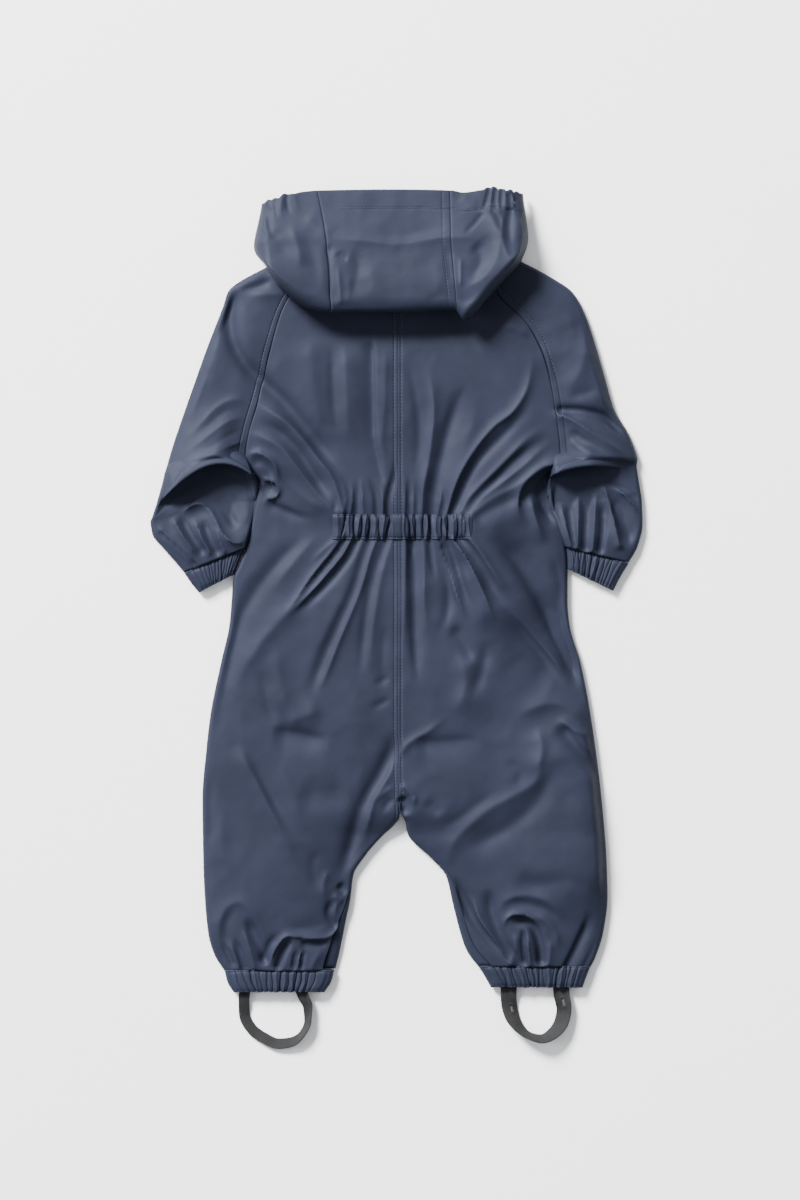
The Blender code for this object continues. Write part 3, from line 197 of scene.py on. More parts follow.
SEAT_FOLDS = (
    # gathers that run down from the waist, left
    (((342, 538), (332, 552), (314, 574), (298, 597), (282, 620)), 2.2, 4, 3.0, 0, 0.3),
    (((347, 538), (338, 552), (322, 572), (302, 597)), 1.8, 1.8, -2.2, 0, 0.4),
    (((352, 538), (342, 556), (322, 580), (300, 604), (284, 621)), 2.6, 3.4, 3.6, 0, 0.3),
    (((358, 538), (350, 556), (334, 577), (312, 600), (296, 616)), 3, 2.4, -3.0, 0, 0.4),
    (((310, 592), (286, 614), (262, 642), (243, 672), (238, 690)), 9, 10, 3.4, 0.3, 0.4),
    (((337, 538), (324, 550), (308, 566)), 2, 2.4, 1.6, 0, 0.6),
    (((308, 534), (286, 554), (262, 582), (244, 611), (232, 646), (223, 690), (218, 714)),
     8, 8, -3.4, 0.15, 0.25),
    (((322, 533), (306, 548), (286, 572), (270, 594)), 7, 6, 1.8, 0.3, 0.4),
    (((366, 538), (359, 556), (350, 584), (336, 614), (320, 646), (300, 690)), 6, 9, 1.8, 0, 0.5),
    (((371, 538), (364, 556), (354, 590), (342, 618), (329, 646), (319, 670), (309, 700)),
     5, 6, -3.2, 0, 0.2),
    (((377, 538), (370, 558), (362, 586), (351, 614), (339, 642), (328, 670), (317, 696)),
     3, 5, 3.2, 0, 0.25),
    (((387, 540), (379, 560), (371, 586), (366, 616), (362, 650), (358, 690)), 5, 4, -2.6, 0, 0.4),
    (((391, 540), (384, 566), (377, 600), (372, 640), (368, 690)), 4, 6, 1.8, 0, 0.5),
    (((386, 620), (382, 660), (384, 700)), 5, 5, -1.4, 0.3, 0.4),
    (((276, 640), (278, 668), (283, 696), (290, 719)), 8, 12, 2.2, 0.3, 0.3),
    (((262, 668), (265, 690), (271, 712), (279, 726)), 6, 6, -2.0, 0.3, 0.3),
    (((284, 722), (304, 716), (324, 708)), 14, 7, 2.6, 0.3, 0.3),
    (((272, 731), (288, 733), (306, 736), (332, 741)), 6, 14, -4.6, 0.25, 0.4),
    (((234, 742), (252, 770), (266, 798), (281, 828), (300, 866)), 5, 8, 4.0, 0.2, 0.4),
    (((246, 752), (262, 778), (276, 804), (290, 830)), 5, 5, -2.4, 0.3, 0.4),
    (((276, 752), (292, 792), (306, 836)), 8, 8, 1.6, 0.4, 0.4),
    (((298, 790), (322, 794), (350, 790)), 12, 16, -2.6, 0.3, 0.3),
    (((212, 760), (209, 800), (211, 860)), 6, 6, -1.6, 0.3, 0.3),
    (((224, 800), (222, 840), (230, 880)), 9, 9, 1.4, 0.3, 0.4),
    (((393, 728), (391, 750), (381, 772), (368, 794), (359, 814), (353, 838), (346, 860),
      (336, 884)), 6, 7, -5.0, 0.15, 0.25),
    (((395, 756), (388, 776), (375, 797), (369, 820), (363, 846)), 3, 3.4, 2.8, 0.25, 0.35),
    (((394, 786), (384, 793), (374, 803)), 2.6, 2.6, 1.8, 0.2, 0.4),
    (((394, 797), (386, 805), (382, 816)), 2.4, 2.4, -1.8, 0.2, 0.5),
    (((338, 884), (344, 889), (348, 894)), 3, 3, -3.4, 0.3, 0.3),
    (((332, 893), (338, 898), (345, 903)), 3, 3, 2.2, 0.3, 0.3),
    (((320, 846), (313, 868), (320, 894)), 6, 6, -1.6, 0.3, 0.4),
    (((330, 866), (324, 884), (326, 904)), 5, 4, 2.0, 0.3, 0.4),
    (((390, 676), (380, 682), (372, 684)), 3, 3, -1.4, 0.3, 0.5),
    (((390, 698), (378, 705), (368, 706)), 3, 3, -1.6, 0.3, 0.5),
    # right of the middle
    (((406, 539), (406, 560), (405, 600), (405, 660)), 2.6, 3, 2.2, 0, 0.5),
    (((413, 540), (414, 590), (415, 640), (418, 690)), 5.5, 4, -4.6, 0, 0.3),
    (((410, 539), (412, 552), (410, 566)), 1.4, 1.4, -2.2, 0, 0.6),
    (((422, 539), (424, 560), (424, 600), (428, 636)), 4, 4, 2.6, 0, 0.5),
    (((430, 540), (432, 560), (436, 584)), 1.6, 1.6, -2.4, 0, 0.6),
    (((437, 539), (444, 558), (452, 584), (460, 606), (468, 624)), 3, 3, 4.4, 0, 0.35),
    (((441, 541), (447, 566), (449, 594), (446, 618), (436, 636)), 4, 5, -3.4, 0.1, 0.4),
    (((447, 540), (455, 562), (463, 588), (470, 610)), 2, 2.4, -3.6, 0, 0.4),
    (((453, 539), (463, 552), (476, 576), (486, 598), (497, 624)), 2.4, 7, 5.6, 0, 0.3),
    (((458, 562), (468, 588), (480, 612), (486, 634)), 12, 9, 4.4, 0.3, 0.3),
    (((461, 539), (472, 552), (486, 576), (498, 598)), 4, 4, -5.0, 0, 0.5),
    (((468, 539), (482, 556), (498, 580), (510, 600)), 4, 5, 4.6, 0, 0.5),
    (((478, 566), (497, 597), (519, 627), (542, 656), (565, 690)), 8, 6, -6.4, 0.25, 0.3),
    (((484, 582), (506, 608), (533, 637), (560, 668), (572, 688)), 5, 6, 4.4, 0.25, 0.25),
    (((486, 536), (508, 550), (526, 574), (544, 607), (566, 647), (586, 688)),
     15, 8, -10.0, 0.2, 0.2),
    (((466, 500), (474, 545), (492, 600), (516, 650)), 44, 14, 9.0, 0.2, 0.3),
    (((552, 556), (560, 580), (566, 610)), 5, 5, -2.2, 0.3, 0.4),
    (((450, 626), (459, 636), (467, 650), (473, 664)), 6, 6, -3.4, 0.25, 0.3),
    (((456, 650), (466, 676), (462, 700), (446, 722)), 14, 8, 3.2, 0.3, 0.4),
    (((486, 640), (482, 670), (470, 704)), 6, 8, -3.4, 0.3, 0.4),
    (((498, 650), (530, 668), (556, 680)), 12, 16, -2.6, 0.4, 0.3),
    (((399, 760), (404, 748), (414, 739), (430, 730), (450, 712)), 4, 5, 2.6, 0.2, 0.5),
    (((414, 744), (428, 743), (446, 742), (484, 738)), 6, 14, -3.4, 0.2, 0.4),
    (((452, 868), (450, 850), (462, 832), (490, 808), (516, 794), (536, 780), (541, 758),
      (540, 728)), 6, 8, 2.6, 0.15, 0.3),
    (((462, 852), (488, 838), (512, 824), (532, 806), (548, 780), (556, 754)),
     10, 9, -3.6, 0.2, 0.3),
    (((560, 700), (584, 780), (592, 850), (580, 930)), 22, 46, 12.0, 0.25, 0.25),
    (((436, 832), (458, 818), (482, 800), (500, 786)), 6, 5, -1.6, 0.3, 0.4),
    (((504, 760), (516, 766), (520, 776), (512, 786)), 5, 5, -1.4, 0.3, 0.4),
    (((506, 724), (532, 708), (560, 704), (590, 722)), 9, 8, 3.2, 0.4, 0.2),
    (((536, 724), (542, 748), (534, 776)), 4, 9, 2.4, 0.3, 0.3),
    (((558, 722), (573, 742), (590, 762), (598, 780)), 4, 8, -6.0, 0.2, 0.3),
    (((556, 716), (572, 729), (594, 735)), 4, 3, 2.6, 0.3, 0.3),
    (((566, 790), (582, 810), (590, 840)), 10, 10, 1.8, 0.4, 0.4),
    (((399, 784), (408, 789), (414, 798), (412, 808)), 2.4, 3, 3.4, 0.2, 0.3),
    (((401, 796), (405, 805), (403, 814)), 4, 4, -4.6, 0.2, 0.2),
    (((424, 800), (436, 810), (442, 816)), 6, 6, -2.6, 0.4, 0.4),
)
ANKLE_FOLDS = (
    # left
    (((222, 950), (220, 928), (226, 909), (239, 902), (252, 912), (262, 934), (268, 952)),
     8, 4, 2.0, 0.3, 0.35),
    (((226, 948), (226, 928), (231, 914), (240, 912)), 5, 6, -1.5, 0.3, 0.3),
    (((246, 916), (254, 934), (262, 950), (267, 964)), 5, 4, -4.4, 0.3, 0.1),
    (((243, 926), (249, 944), (255, 966)), 3.4, 3, 2.8, 0.35, 0),
    (((234, 936), (240, 950), (245, 968)), 2, 2.4, -3.0, 0.4, 0),
    (((228, 940), (234, 952), (240, 968)), 2.4, 2, 2.6, 0.4, 0),
    (((222, 938), (227, 952), (234, 966)), 2, 2, -2.0, 0.4, 0.1),
    (((268, 966), (273, 954), (279, 943), (286, 936), (294, 935), (304, 937), (318, 937.5),
      (330, 936), (338, 927), (342, 914)), 3, 2.6, 4.2, 0.1, 0.2),
    (((264, 958), (270, 944), (280, 932)), 3, 3, -3.0, 0, 0.4),
    (((278, 966), (283, 953), (288, 944), (294, 941)), 2.6, 2.6, -4.4, 0, 0.3),
    (((300, 943), (314, 943.5), (330, 941)), 2.6, 4, -3.0, 0.2, 0.3),
    (((284, 929), (308, 927), (332, 922)), 7, 4, -1.6, 0.3, 0.3),
    (((332, 898), (329, 912), (333, 922), (340, 929)), 3, 3, -3.8, 0.3, 0.2),
    (((337, 900), (335, 912), (340, 922)), 2.4, 2.4, 2.2, 0.3, 0.2),
    (((294, 966), (296, 954), (298, 948)), 1.8, 1.8, -2.6, 0, 0.5),
    (((302, 966), (303, 956), (307, 949)), 1.6, 1.6, -2.4, 0, 0.5),
    (((298, 968), (300, 956), (303, 948)), 1.6, 1.6, 2.0, 0, 0.5),
    (((312, 967), (318, 956), (326, 948)), 5, 5, 2.0, 0, 0.5),
    (((208, 926), (214, 948), (224, 966)), 4, 4, -1.8, 0.3, 0.2),
    # right
    (((453, 874), (464, 900), (475, 922), (490, 940), (506, 954), (514, 964)),
     4, 4, -4.6, 0.2, 0.1),
    (((470, 892), (479, 918), (494, 940), (510, 962)), 5, 3, 4.2, 0.3, 0),
    (((488, 886), (492, 914), (503, 940), (520, 962)), 5, 6, -5.4, 0.25, 0),
    (((503, 930), (504, 921), (512, 914), (523, 914), (532, 919), (540, 931)),
     3, 3, 4.4, 0.3, 0.35),
    (((529, 912), (546, 921), (556, 934), (559, 950)), 4, 4, 2.8, 0.3, 0.3),
    (((510, 922), (521, 920), (531, 924), (537, 935), (540, 948), (541, 964)),
     3.6, 3.4, -7.0, 0.2, 0.05),
    (((523.5, 926), (523, 942), (524, 962)), 1.8, 1.6, -3.4, 0.3, 0),
    (((527.5, 934), (528.5, 948), (530, 963)), 1.8, 2, 3.0, 0.3, 0),
    (((516, 930), (515, 946), (512, 962)), 4, 4, 2.0, 0.3, 0),
    (((549, 938), (550, 950), (548, 963)), 4, 4, 2.0, 0.4, 0),
    (((492, 914), (510, 898), (534, 896), (556, 908), (568, 926)), 6, 5, 2.4, 0.3, 0.4),
    (((500, 905), (522, 903), (548, 911), (564, 932)), 4, 4, -2.2, 0.3, 0.4),
    (((590, 910), (585, 926), (577, 944), (566, 966)), 6, 2.6, -4.0, 0.35, 0),
    (((500, 876), (536, 884), (572, 880), (596, 898), (604, 924)), 12, 10, -3.0, 0.3, 0.3),
    (((584, 966), (592, 952), (598, 936)), 3, 3, -2.0, 0, 0.5),
)
FOREARM_FOLDS = (
    # left
    (((182, 517), (189, 507), (199, 503.5), (209, 508), (216, 519), (222, 531), (231, 541),
      (241, 543), (249, 539)), 3, 5, 4.6, 0.15, 0.2),
    (((222, 496), (228, 512), (237, 530)), 4, 4, -4.0, 0.3, 0.3),
    (((243, 488), (248, 508), (250, 528)), 8, 8, 0.8, 0.3, 0.3),
    (((172, 516), (183, 536), (198, 556)), 3, 3, 3.0, 0.2, 0.2),
    (((180, 514), (190, 533), (202, 551)), 2.4, 2.6, -3.2, 0.3, 0),
    (((193, 516), (202, 538), (210, 553)), 2.6, 2.6, 2.8, 0.3, 0),
    (((203, 518), (210, 538), (217, 552)), 2.2, 2.2, -2.8, 0.3, 0),
    (((214, 526), (219, 540), (225, 552)), 2, 2, 2.2, 0.3, 0),
    (((158, 531), (178, 548), (197, 566)), 1.2, 1.4, -1.6, 0.1, 0),
    (((156, 524), (172, 542), (190, 560)), 3, 3, 1.8, 0.2, 0),
    # right
    (((560, 500), (565, 522), (571, 546)), 3, 3, 2.6, 0.3, 0),
    (((569, 498), (571, 522), (574, 546)), 2, 2.4, -2.6, 0.3, 0),
    (((578, 490), (578, 516), (577, 546)), 3.4, 3.4, 3.0, 0.3, 0),
    (((587, 490), (586.5, 516), (585, 548)), 3, 3, -3.4, 0.3, 0),
    (((596, 488), (594.5, 516), (592, 550)), 3.4, 3.4, 3.0, 0.3, 0),
    (((603, 500), (603, 526), (600, 550)), 2.6, 2.6, -3.2, 0.3, 0),
    (((602, 480), (608, 499), (614, 520), (621, 552)), 3, 4.6, 4.4, 0.15, 0.1),
    (((613, 496), (623, 520), (633, 548)), 6, 7, -4.6, 0.3, 0.3),
    (((601, 478), (618, 489), (632, 504), (643, 521)), 3, 4, 4.6, 0.15, 0.3),
)
# Creases across the waist casing: x at its upper and lower stitch line, half width, rise.
WAIST_CREASES = (
    (338, 337, 4.5, 1.4), (345.5, 342, 1.3, -1.8), (349.5, 348, 2.2, 1.6), (354.5, 354, 1.2, -3.0),
    (359, 358, 2.0, 1.7), (363, 360.5, 1.1, -2.2), (366, 365, 1.8, 1.4), (370, 368.5, 1.3, -3.4),
    (376, 374, 3.6, 1.5), (379, 380, 1.0, -1.2), (384.5, 383, 2.8, 1.6), (390.5, 387, 1.5, -4.0),
    (393.8, 392.4, 1.4, 1.2), (404, 404.6, 1.4, 1.3), (408, 410.8, 1.3, -3.4),
    (411.6, 414, 1.5, 1.4), (414.6, 416, 1.1, -2.0), (419.5, 420, 2.4, 1.5), (424, 423, 1.0, -1.4),
    (427, 427, 1.8, 1.5), (430.8, 430, 1.4, -4.0), (436, 436, 3.0, 1.6), (441.6, 442.5, 1.1, -2.2),
    (444, 445.6, 1.0, 1.3), (446.4, 449, 1.2, -3.0), (452, 453.6, 3.0, 1.7),
    (457.6, 457.4, 1.2, -2.6), (461, 461, 1.8, 1.4), (464.6, 466, 1.2, -1.6), (468, 470, 2.2, 1.2),
)
RIB_WIDTH = 0.62               # of the ribs of every casing, as a share of the tables' widths
SEAM_BAND = (397.5, 4.2)       # the centre seam crosses the casing ungathered: x, half width

# Cell in mm, rise in mm, seed and sharpness of the small uneven wrinkles.
WRINKLES = ((80, 1.7, 3, 0), (38, 0.7, 4, 1), (17, 0.2, 5, 1))
NOISE_CELLS = 64               # after so many cells they repeat
RELIEF_STEP, MOST_SLOPE = 0.7, 0.8   # slopes are measured over this step, and cut off at this
SHARPNESS, NARROW = 0.17, 6.0  # of a narrow crease's crest, as a share of its width
ROUNDING, MOST_ROUND = 0.035, 0.8    # added to it for each mm over that width, and the most
FOLD_REACH = 3.2               # a crease is felt this many widths away
CREST_PULL = 1.6               # cloth is drawn towards its crests by this times the slope
GROOVE_DEPTH, GROOVE_WIDTH = 0.65, 0.75
# Share of the tables' rises that each part of the suit shows.
EASE = {"upper": 0.68, "seat": 0.88, "ankle": 0.8, "forearm": 1.0, "hood": 0.50}
CENTRE_GROOVE = 3.5            # each side of the centre seam
RAGLAN_GROOVE = 6.6            # on the sleeve


# ================================================================ curves and creases
def smooth(value, start, end):
    share = np.clip((np.asarray(value, float) - start) / (end - start), 0, 1)
    return share * share * (3 - 2 * share)


def blend(a, b, share):
    return a + (b - a) * share


def unit(vectors):
    return vectors / np.maximum(np.linalg.norm(vectors, axis=-1, keepdims=True), 1e-9)


def run_along(path):
    """How far along a path each of its points lies."""
    return np.concatenate([[0], np.cumsum(np.linalg.norm(np.diff(path, axis=0), axis=1))])


def hermite(u, step, v0, v1, t0, t1):
    """A cubic between two values with their slopes, at the share u of the step between them."""
    return ((2 * u**3 - 3 * u**2 + 1) * v0 + (u**3 - 2 * u**2 + u) * step * t0
            + (3 * u**2 - 2 * u**3) * v1 + (u**3 - u**2) * step * t1)


def through(rows, column=1):
    """A smooth curve through a table's rows by their first column, with no overshoot."""
    order = sorted(rows, key=lambda row: row[0])
    at = np.array([row[0] for row in order], float)
    value = np.array([row[column] for row in order], float)
    step = np.diff(at)
    slope = np.diff(value) / step
    tangent = np.empty(len(at))
    tangent[0], tangent[-1] = slope[0], slope[-1]
    same_way = slope[:-1] * slope[1:] > 0
    mean = 2 * slope[:-1] * slope[1:] / np.where(same_way, slope[:-1] + slope[1:], 1)
    tangent[1:-1] = np.where(same_way, mean, 0)

    def curve(query):
        query = np.clip(np.asarray(query, float), at[0], at[-1])
        i = np.clip(np.searchsorted(at, query, side="right") - 1, 0, len(at) - 2)
        u = (query - at[i]) / step[i]
        return hermite(u, step[i], value[i], value[i + 1], tangent[i], tangent[i + 1])

    return curve


def spline(points, spacing=4.0):
    """Points a few millimetres apart on one smooth curve through given ones."""
    p = np.array(points, float)
    ends = np.vstack([2 * p[0] - p[1], p, 2 * p[-1] - p[-2]])
    parts = []
    for a, b, c, d in zip(ends, ends[1:], ends[2:], ends[3:]):
        count = max(2, int(np.linalg.norm(c - b) / spacing) + 1)
        t = np.linspace(0, 1, count, endpoint=False)[:, None]
        parts.append(0.5 * (2 * b + (c - a) * t + (2 * a - 5 * b + 4 * c - d) * t**2
                            + (3 * b - a - 3 * c + d) * t**3))
    return np.vstack(parts + [p[-1:]])


def on_board(points):
    return [(BOARD[0] + x, BOARD[1] - y) for x, y in points]


def creases(**tables):
    """Creases ready to be measured: lines in the frame, with the share of length at each point."""
    ready = []
    for part, table in tables.items():
        for points, left, right, rise, fade_in, fade_out in table:
            line = spline(on_board(points))
            length = run_along(line)
            rise *= EASE[part]
            ready.append((line, length / length[-1], left, right, rise, fade_in, fade_out))
    return ready


def crest(distance, width):
    """A crease's section, 1 in its middle: a crest between hollow flanks, rounder if wide."""
    sharp = np.minimum(SHARPNESS + ROUNDING * np.maximum(width - NARROW, 0), MOST_ROUND)
    return np.exp(sharp**1.4 - ((distance / width) ** 2 + sharp**2) ** 0.7)


def height_of(x, y, ready):
    """Sum of the creases' rises over the points x, y."""
    flat_x, flat_y = x.ravel(), y.ravel()
    total = np.zeros(flat_x.size)
    for line, share, left, right, rise, fade_in, fade_out in ready:
        reach = FOLD_REACH * max(left, right)
        (x0, y0), (x1, y1) = line.min(0) - reach, line.max(0) + reach
        near = np.flatnonzero((flat_x > x0) & (flat_x < x1) & (flat_y > y0) & (flat_y < y1))
        if not near.size:
            continue
        point = np.stack([flat_x[near], flat_y[near]], -1)[:, None]
        start, run = line[:-1], np.diff(line, axis=0)
        t = np.clip(((point - start) * run).sum(-1) / (run**2).sum(-1), 0, 1)
        gap = point - (start + run * t[..., None])
        distance = np.hypot(gap[..., 0], gap[..., 1])
        best = distance.argmin(1)
        pick = np.arange(len(near))
        gap, along = gap[pick, best], blend(share[best], share[best + 1], t[pick, best])
        side = run[best, 0] * gap[:, 1] - run[best, 1] * gap[:, 0]
        width = np.where(side > 0, left, right)
        ends = smooth(along, -0.001, fade_in) * (1 - smooth(along, 1 - fade_out, 1.001))
        total[near] += rise * crest(distance[pick, best], width) * ends
    return total.reshape(x.shape)


def noise(x, y, cell, seed):
    """Even gradient noise, about -1 to 1, on a grid of cells."""
    angle = np.random.default_rng(seed).uniform(0, 2 * math.pi, (NOISE_CELLS, NOISE_CELLS))
    u, v = x / cell, y / cell
    i, j = np.floor(u).astype(int), np.floor(v).astype(int)
    fu, fv = u - i, v - j
    su, sv = fu * fu * (3 - 2 * fu), fv * fv * (3 - 2 * fv)

    def corner(a, b):
        turn = angle[(i + a) % NOISE_CELLS, (j + b) % NOISE_CELLS]
        return (fu - a) * np.cos(turn) + (fv - b) * np.sin(turn)

    low, high = blend(corner(0, 0), corner(1, 0), su), blend(corner(0, 1), corner(1, 1), su)
    return 1.5 * blend(low, high, sv)


def wrinkles(x, y):
    """Height of the small uneven wrinkles, soft or with sharp crests."""
    total = 0
    for cell, rise, seed, sharp in WRINKLES:
        soft = noise(x, y, cell, seed)
        total = total + rise * blend(soft, 0.5 - 1.4 * np.sqrt(soft**2 + 0.02), sharp)
    return total


BODY = creases(upper=UPPER_FOLDS, seat=SEAT_FOLDS, ankle=ANKLE_FOLDS)
FOREARMS = creases(forearm=FOREARM_FOLDS)


def relief(x, y, ready=BODY):
    """Height of creases and wrinkles, and how far the cloth is drawn sideways to its crests."""
    step = RELIEF_STEP
    here = height_of(x, y, ready) + wrinkles(x, y)
    across = height_of(x + step, y, ready) + wrinkles(x + step, y) - here
    along = height_of(x, y + step, ready) + wrinkles(x, y + step) - here
    pull = CREST_PULL * np.clip(np.stack([across, along], -1) / step, -MOST_SLOPE, MOST_SLOPE)
    return here, pull


def groove(distance, at):
    """The dent that a row of stitches pulls into the cloth."""
    return -GROOVE_DEPTH * np.exp(-((distance - at) / GROOVE_WIDTH) ** 2)


# ================================================================ meshes
def add_mesh(name, points, faces, finish, replaces=True):
    """A piece of the suit from points in millimetres. It replaces the frame's node of its name."""
    mesh = bpy.data.meshes.new(name)
    mesh.from_pydata(np.asarray(points, float) * MM, [], faces)
    mesh.materials.append(MATERIALS[finish])
    mesh.shade_smooth()
    piece = bpy.data.objects.new(name, mesh)
    bpy.context.scene.collection.objects.link(piece)
    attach(piece, "root")
    if replaces:
        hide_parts(name)


def normals_of(grid, closed=False):
    if closed:
        across = np.roll(grid, -1, axis=1) - np.roll(grid, 1, axis=1)
    else:
        across = np.gradient(grid, axis=1)
    return unit(np.cross(across, np.gradient(grid, axis=0)))


def turned_up(normals, row, column):
    """The normals, turned over unless they point up at this place of the grid."""
    return normals if normals[row, column, 2] > 0 else -normals


def wall_faces(rows, columns, closed=False):
    """Faces of a wall whose outer points come first, then as many inner ones."""
    offset = rows * columns
    index = np.arange(offset).reshape(rows, columns)
    if closed:
        index = np.concatenate([index, index[:, :1]], axis=1)
    a, b, c, d = index[:-1, :-1], index[:-1, 1:], index[1:, 1:], index[1:, :-1]
    outer = np.stack([a, b, c, d], -1).reshape(-1, 4)
    inner = np.stack([a, d, c, b], -1).reshape(-1, 4) + offset
    edges = [index[0, ::-1], index[-1]] + ([] if closed else [index[:, 0], index[::-1, -1]])
    rims = [np.stack([edge[:-1], edge[1:], edge[1:] + offset, edge[:-1] + offset], -1)
            for edge in edges]
    return np.concatenate([outer, inner, *rims])


def both_sides(outer, inner):
    return np.concatenate([outer.reshape(-1, 3), inner.reshape(-1, 3)])


def wall(name, grid, normals, thick=CLOTH, closed=False):
    """A cloth wall on both sides of a grid of points, whose normals point to its outer face."""
    faces = wall_faces(*grid.shape[:2], closed)
    if np.sum(normals_of(grid, closed) * normals) < 0:
        faces = faces[:, ::-1]
    points = both_sides(grid + normals * (thick / 2), grid - normals * (thick / 2))
    add_mesh(name, points, faces.tolist(), "cloth")


def closed_block(name, top, bottom, finish):
    """A solid between two grids of points, one above the other."""
    faces = wall_faces(*top.shape[:2])
    if normals_of(top)[top.shape[0] // 2, top.shape[1] // 2, 2] < 0:
        faces = faces[:, ::-1]
    add_mesh(name, both_sides(top, bottom), faces.tolist(), finish)


def rolled(distance, closed):
    """A wall's way round a side fold, as in the frame: (inset from the outline, height)."""
    distance = np.asarray(distance, float)
    turn = np.clip(distance / ROLL, -math.pi / 2, math.pi / 2)
    beyond = np.maximum(np.abs(distance) - QUARTER, 0)
    inset = ROLL * (1 - np.cos(turn)) + beyond
    height = LOW + ROLL + ROLL * np.sin(turn)
    level = np.where(distance > 0, TOP, LOW)
    return blend(np.abs(distance), inset, closed), blend(level, height, closed)


def seam_distance(wrap):
    if wrap < ROLL:
        return ROLL * math.acos(1 - wrap / ROLL)
    return QUARTER + wrap - ROLL


# ================================================================ materials
def node_material(name):
    """A new material with its nodes, links and shader."""
    made = bpy.data.materials.new(name)
    made.use_nodes = True
    nodes, links = made.node_tree.nodes, made.node_tree.links
    return made, nodes, links, nodes["Principled BSDF"]


def add_node(nodes, kind, **settings):
    """A node with its inputs or else its properties set."""
    node = nodes.new(kind)
    for key, value in settings.items():
        if key in node.inputs:
            node.inputs[key].default_value = value
        else:
            setattr(node, key, value)
    return node


# Columns: name, dark and pale tone, roughness, strength and scale of the grain, scale of the ribs,
# specular level, metallic share.
FINISHES = {
    "cloth": ("coated_navy", (0.0086, 0.0105, 0.0203), (0.0116, 0.0141, 0.0268),
              0.63, 0.22, 1500, None, 0.155, 0),
    "elastic": ("charcoal_elastic", (0.0042, 0.0046, 0.0055), (0.0070, 0.0076, 0.0089),
                0.66, 0.6, 2600, 330, 0.3, 0),
    "tape": ("zip_tape_navy", (0.009, 0.011, 0.020), (0.013, 0.016, 0.028),
             0.7, 0.6, 1800, 500, 0.5, 0),
    "enamel": ("navy_enamel", (0.010, 0.012, 0.020), (0.014, 0.017, 0.027),
               0.34, 0.1, 900, None, 0.5, 0.6),
    "thread": ("navy_thread", (0.012, 0.016, 0.034), (0.020, 0.026, 0.052),
               0.55, 0.5, 4000, None, 0.5, 0),
}
CLOTH_SHEEN = (0.80, 0.85, 1.0, 1)      # tint of the coated cloth's reflections
TONE_ENDS = (0.32, 0.72)                # of the noise that drifts from dark to pale
WEAR_AND_HIGHLIGHT = (0.52, 0.62, 0.30, 1.7)          # crests paler, as wear and as a painted highlight: pointiness from, to, most, times as pale
GLOSS_DRIFT = (-0.06, 0.08)             # of the roughness, patch by patch
# Scale, detail and roughness of the noises behind the tones and the gloss, and the grain's last two.
TONE_NOISE, GLOSS_NOISE, GRAIN_NOISE = (22, 4, 0.6), (60, 5, 0.65), (3, 0.55)
GRAIN_DEPTH, RIB_DEPTH, RIB_STRENGTH = 0.0004, 0.0006, 0.5     # depths in metres
MIX_A, MIX_B, MIX_OUT = 6, 7, 2         # a colour mix's sockets


def cloth_material(name, deep, pale, roughness, grain, grain_scale, ribs, specular, metallic):
    """Coated or woven stuff: two tones in soft drifts, crests painted paler as wear and as a
    highlight, grain and perhaps ribs.
    """
    made, nodes, links, shader = node_material(name)
    shader.inputs["Specular IOR Level"].default_value = specular
    shader.inputs["Metallic"].default_value = metallic
    place = nodes.new("ShaderNodeTexCoord").outputs["Object"]

    def noise_at(scale, detail, rough):
        texture = add_node(nodes, "ShaderNodeTexNoise", Scale=scale, Detail=detail, Roughness=rough)
        links.new(place, texture.inputs["Vector"])
        return texture.outputs["Fac"]

    tones = add_node(nodes, "ShaderNodeValToRGB")
    for stop, at, tone in zip(tones.color_ramp.elements, TONE_ENDS, (deep, pale)):
        stop.position, stop.color = at, (*tone, 1)
    links.new(noise_at(*TONE_NOISE), tones.inputs["Fac"])

    # Sharp crests are painted paler: partly wear, partly a painted highlight along them.
    wear_and_highlight = add_node(nodes, "ShaderNodeMapRange", **{
        "From Min": WEAR_AND_HIGHLIGHT[0], "From Max": WEAR_AND_HIGHLIGHT[1], "To Max": WEAR_AND_HIGHLIGHT[2]})
    links.new(nodes.new("ShaderNodeNewGeometry").outputs["Pointiness"], wear_and_highlight.inputs["Value"])
    crests = add_node(nodes, "ShaderNodeMix", data_type="RGBA")
    crests.inputs[MIX_B].default_value = (*(WEAR_AND_HIGHLIGHT[3] * c for c in pale), 1)
    links.new(wear_and_highlight.outputs["Result"], crests.inputs["Factor"])
    links.new(tones.outputs["Color"], crests.inputs[MIX_A])
    links.new(crests.outputs[MIX_OUT], shader.inputs["Base Color"])

    gloss = add_node(nodes, "ShaderNodeMapRange", **{
        "To Min": roughness + GLOSS_DRIFT[0], "To Max": roughness + GLOSS_DRIFT[1]})
    links.new(noise_at(*GLOSS_NOISE), gloss.inputs["Value"])
    links.new(gloss.outputs["Result"], shader.inputs["Roughness"])

    bump = add_node(nodes, "ShaderNodeBump", Strength=grain, Distance=GRAIN_DEPTH)
    links.new(noise_at(grain_scale, *GRAIN_NOISE), bump.inputs["Height"])
    if ribs:
        lines = add_node(nodes, "ShaderNodeTexWave", Scale=ribs, Distortion=0.6, Detail=2)
        lines.inputs["Detail Scale"].default_value = 2
        links.new(place, lines.inputs["Vector"])
        rib_bump = add_node(nodes, "ShaderNodeBump", Strength=RIB_STRENGTH, Distance=RIB_DEPTH)
        links.new(lines.outputs["Fac"], rib_bump.inputs["Height"])
        links.new(bump.outputs["Normal"], rib_bump.inputs["Normal"])
        bump = rib_bump
    links.new(bump.outputs["Normal"], shader.inputs["Normal"])
    return made


MATERIALS = {finish: cloth_material(*columns) for finish, columns in FINISHES.items()}
shader_of_cloth = MATERIALS["cloth"].node_tree.nodes["Principled BSDF"]
shader_of_cloth.inputs["Specular Tint"].default_value = CLOTH_SHEEN


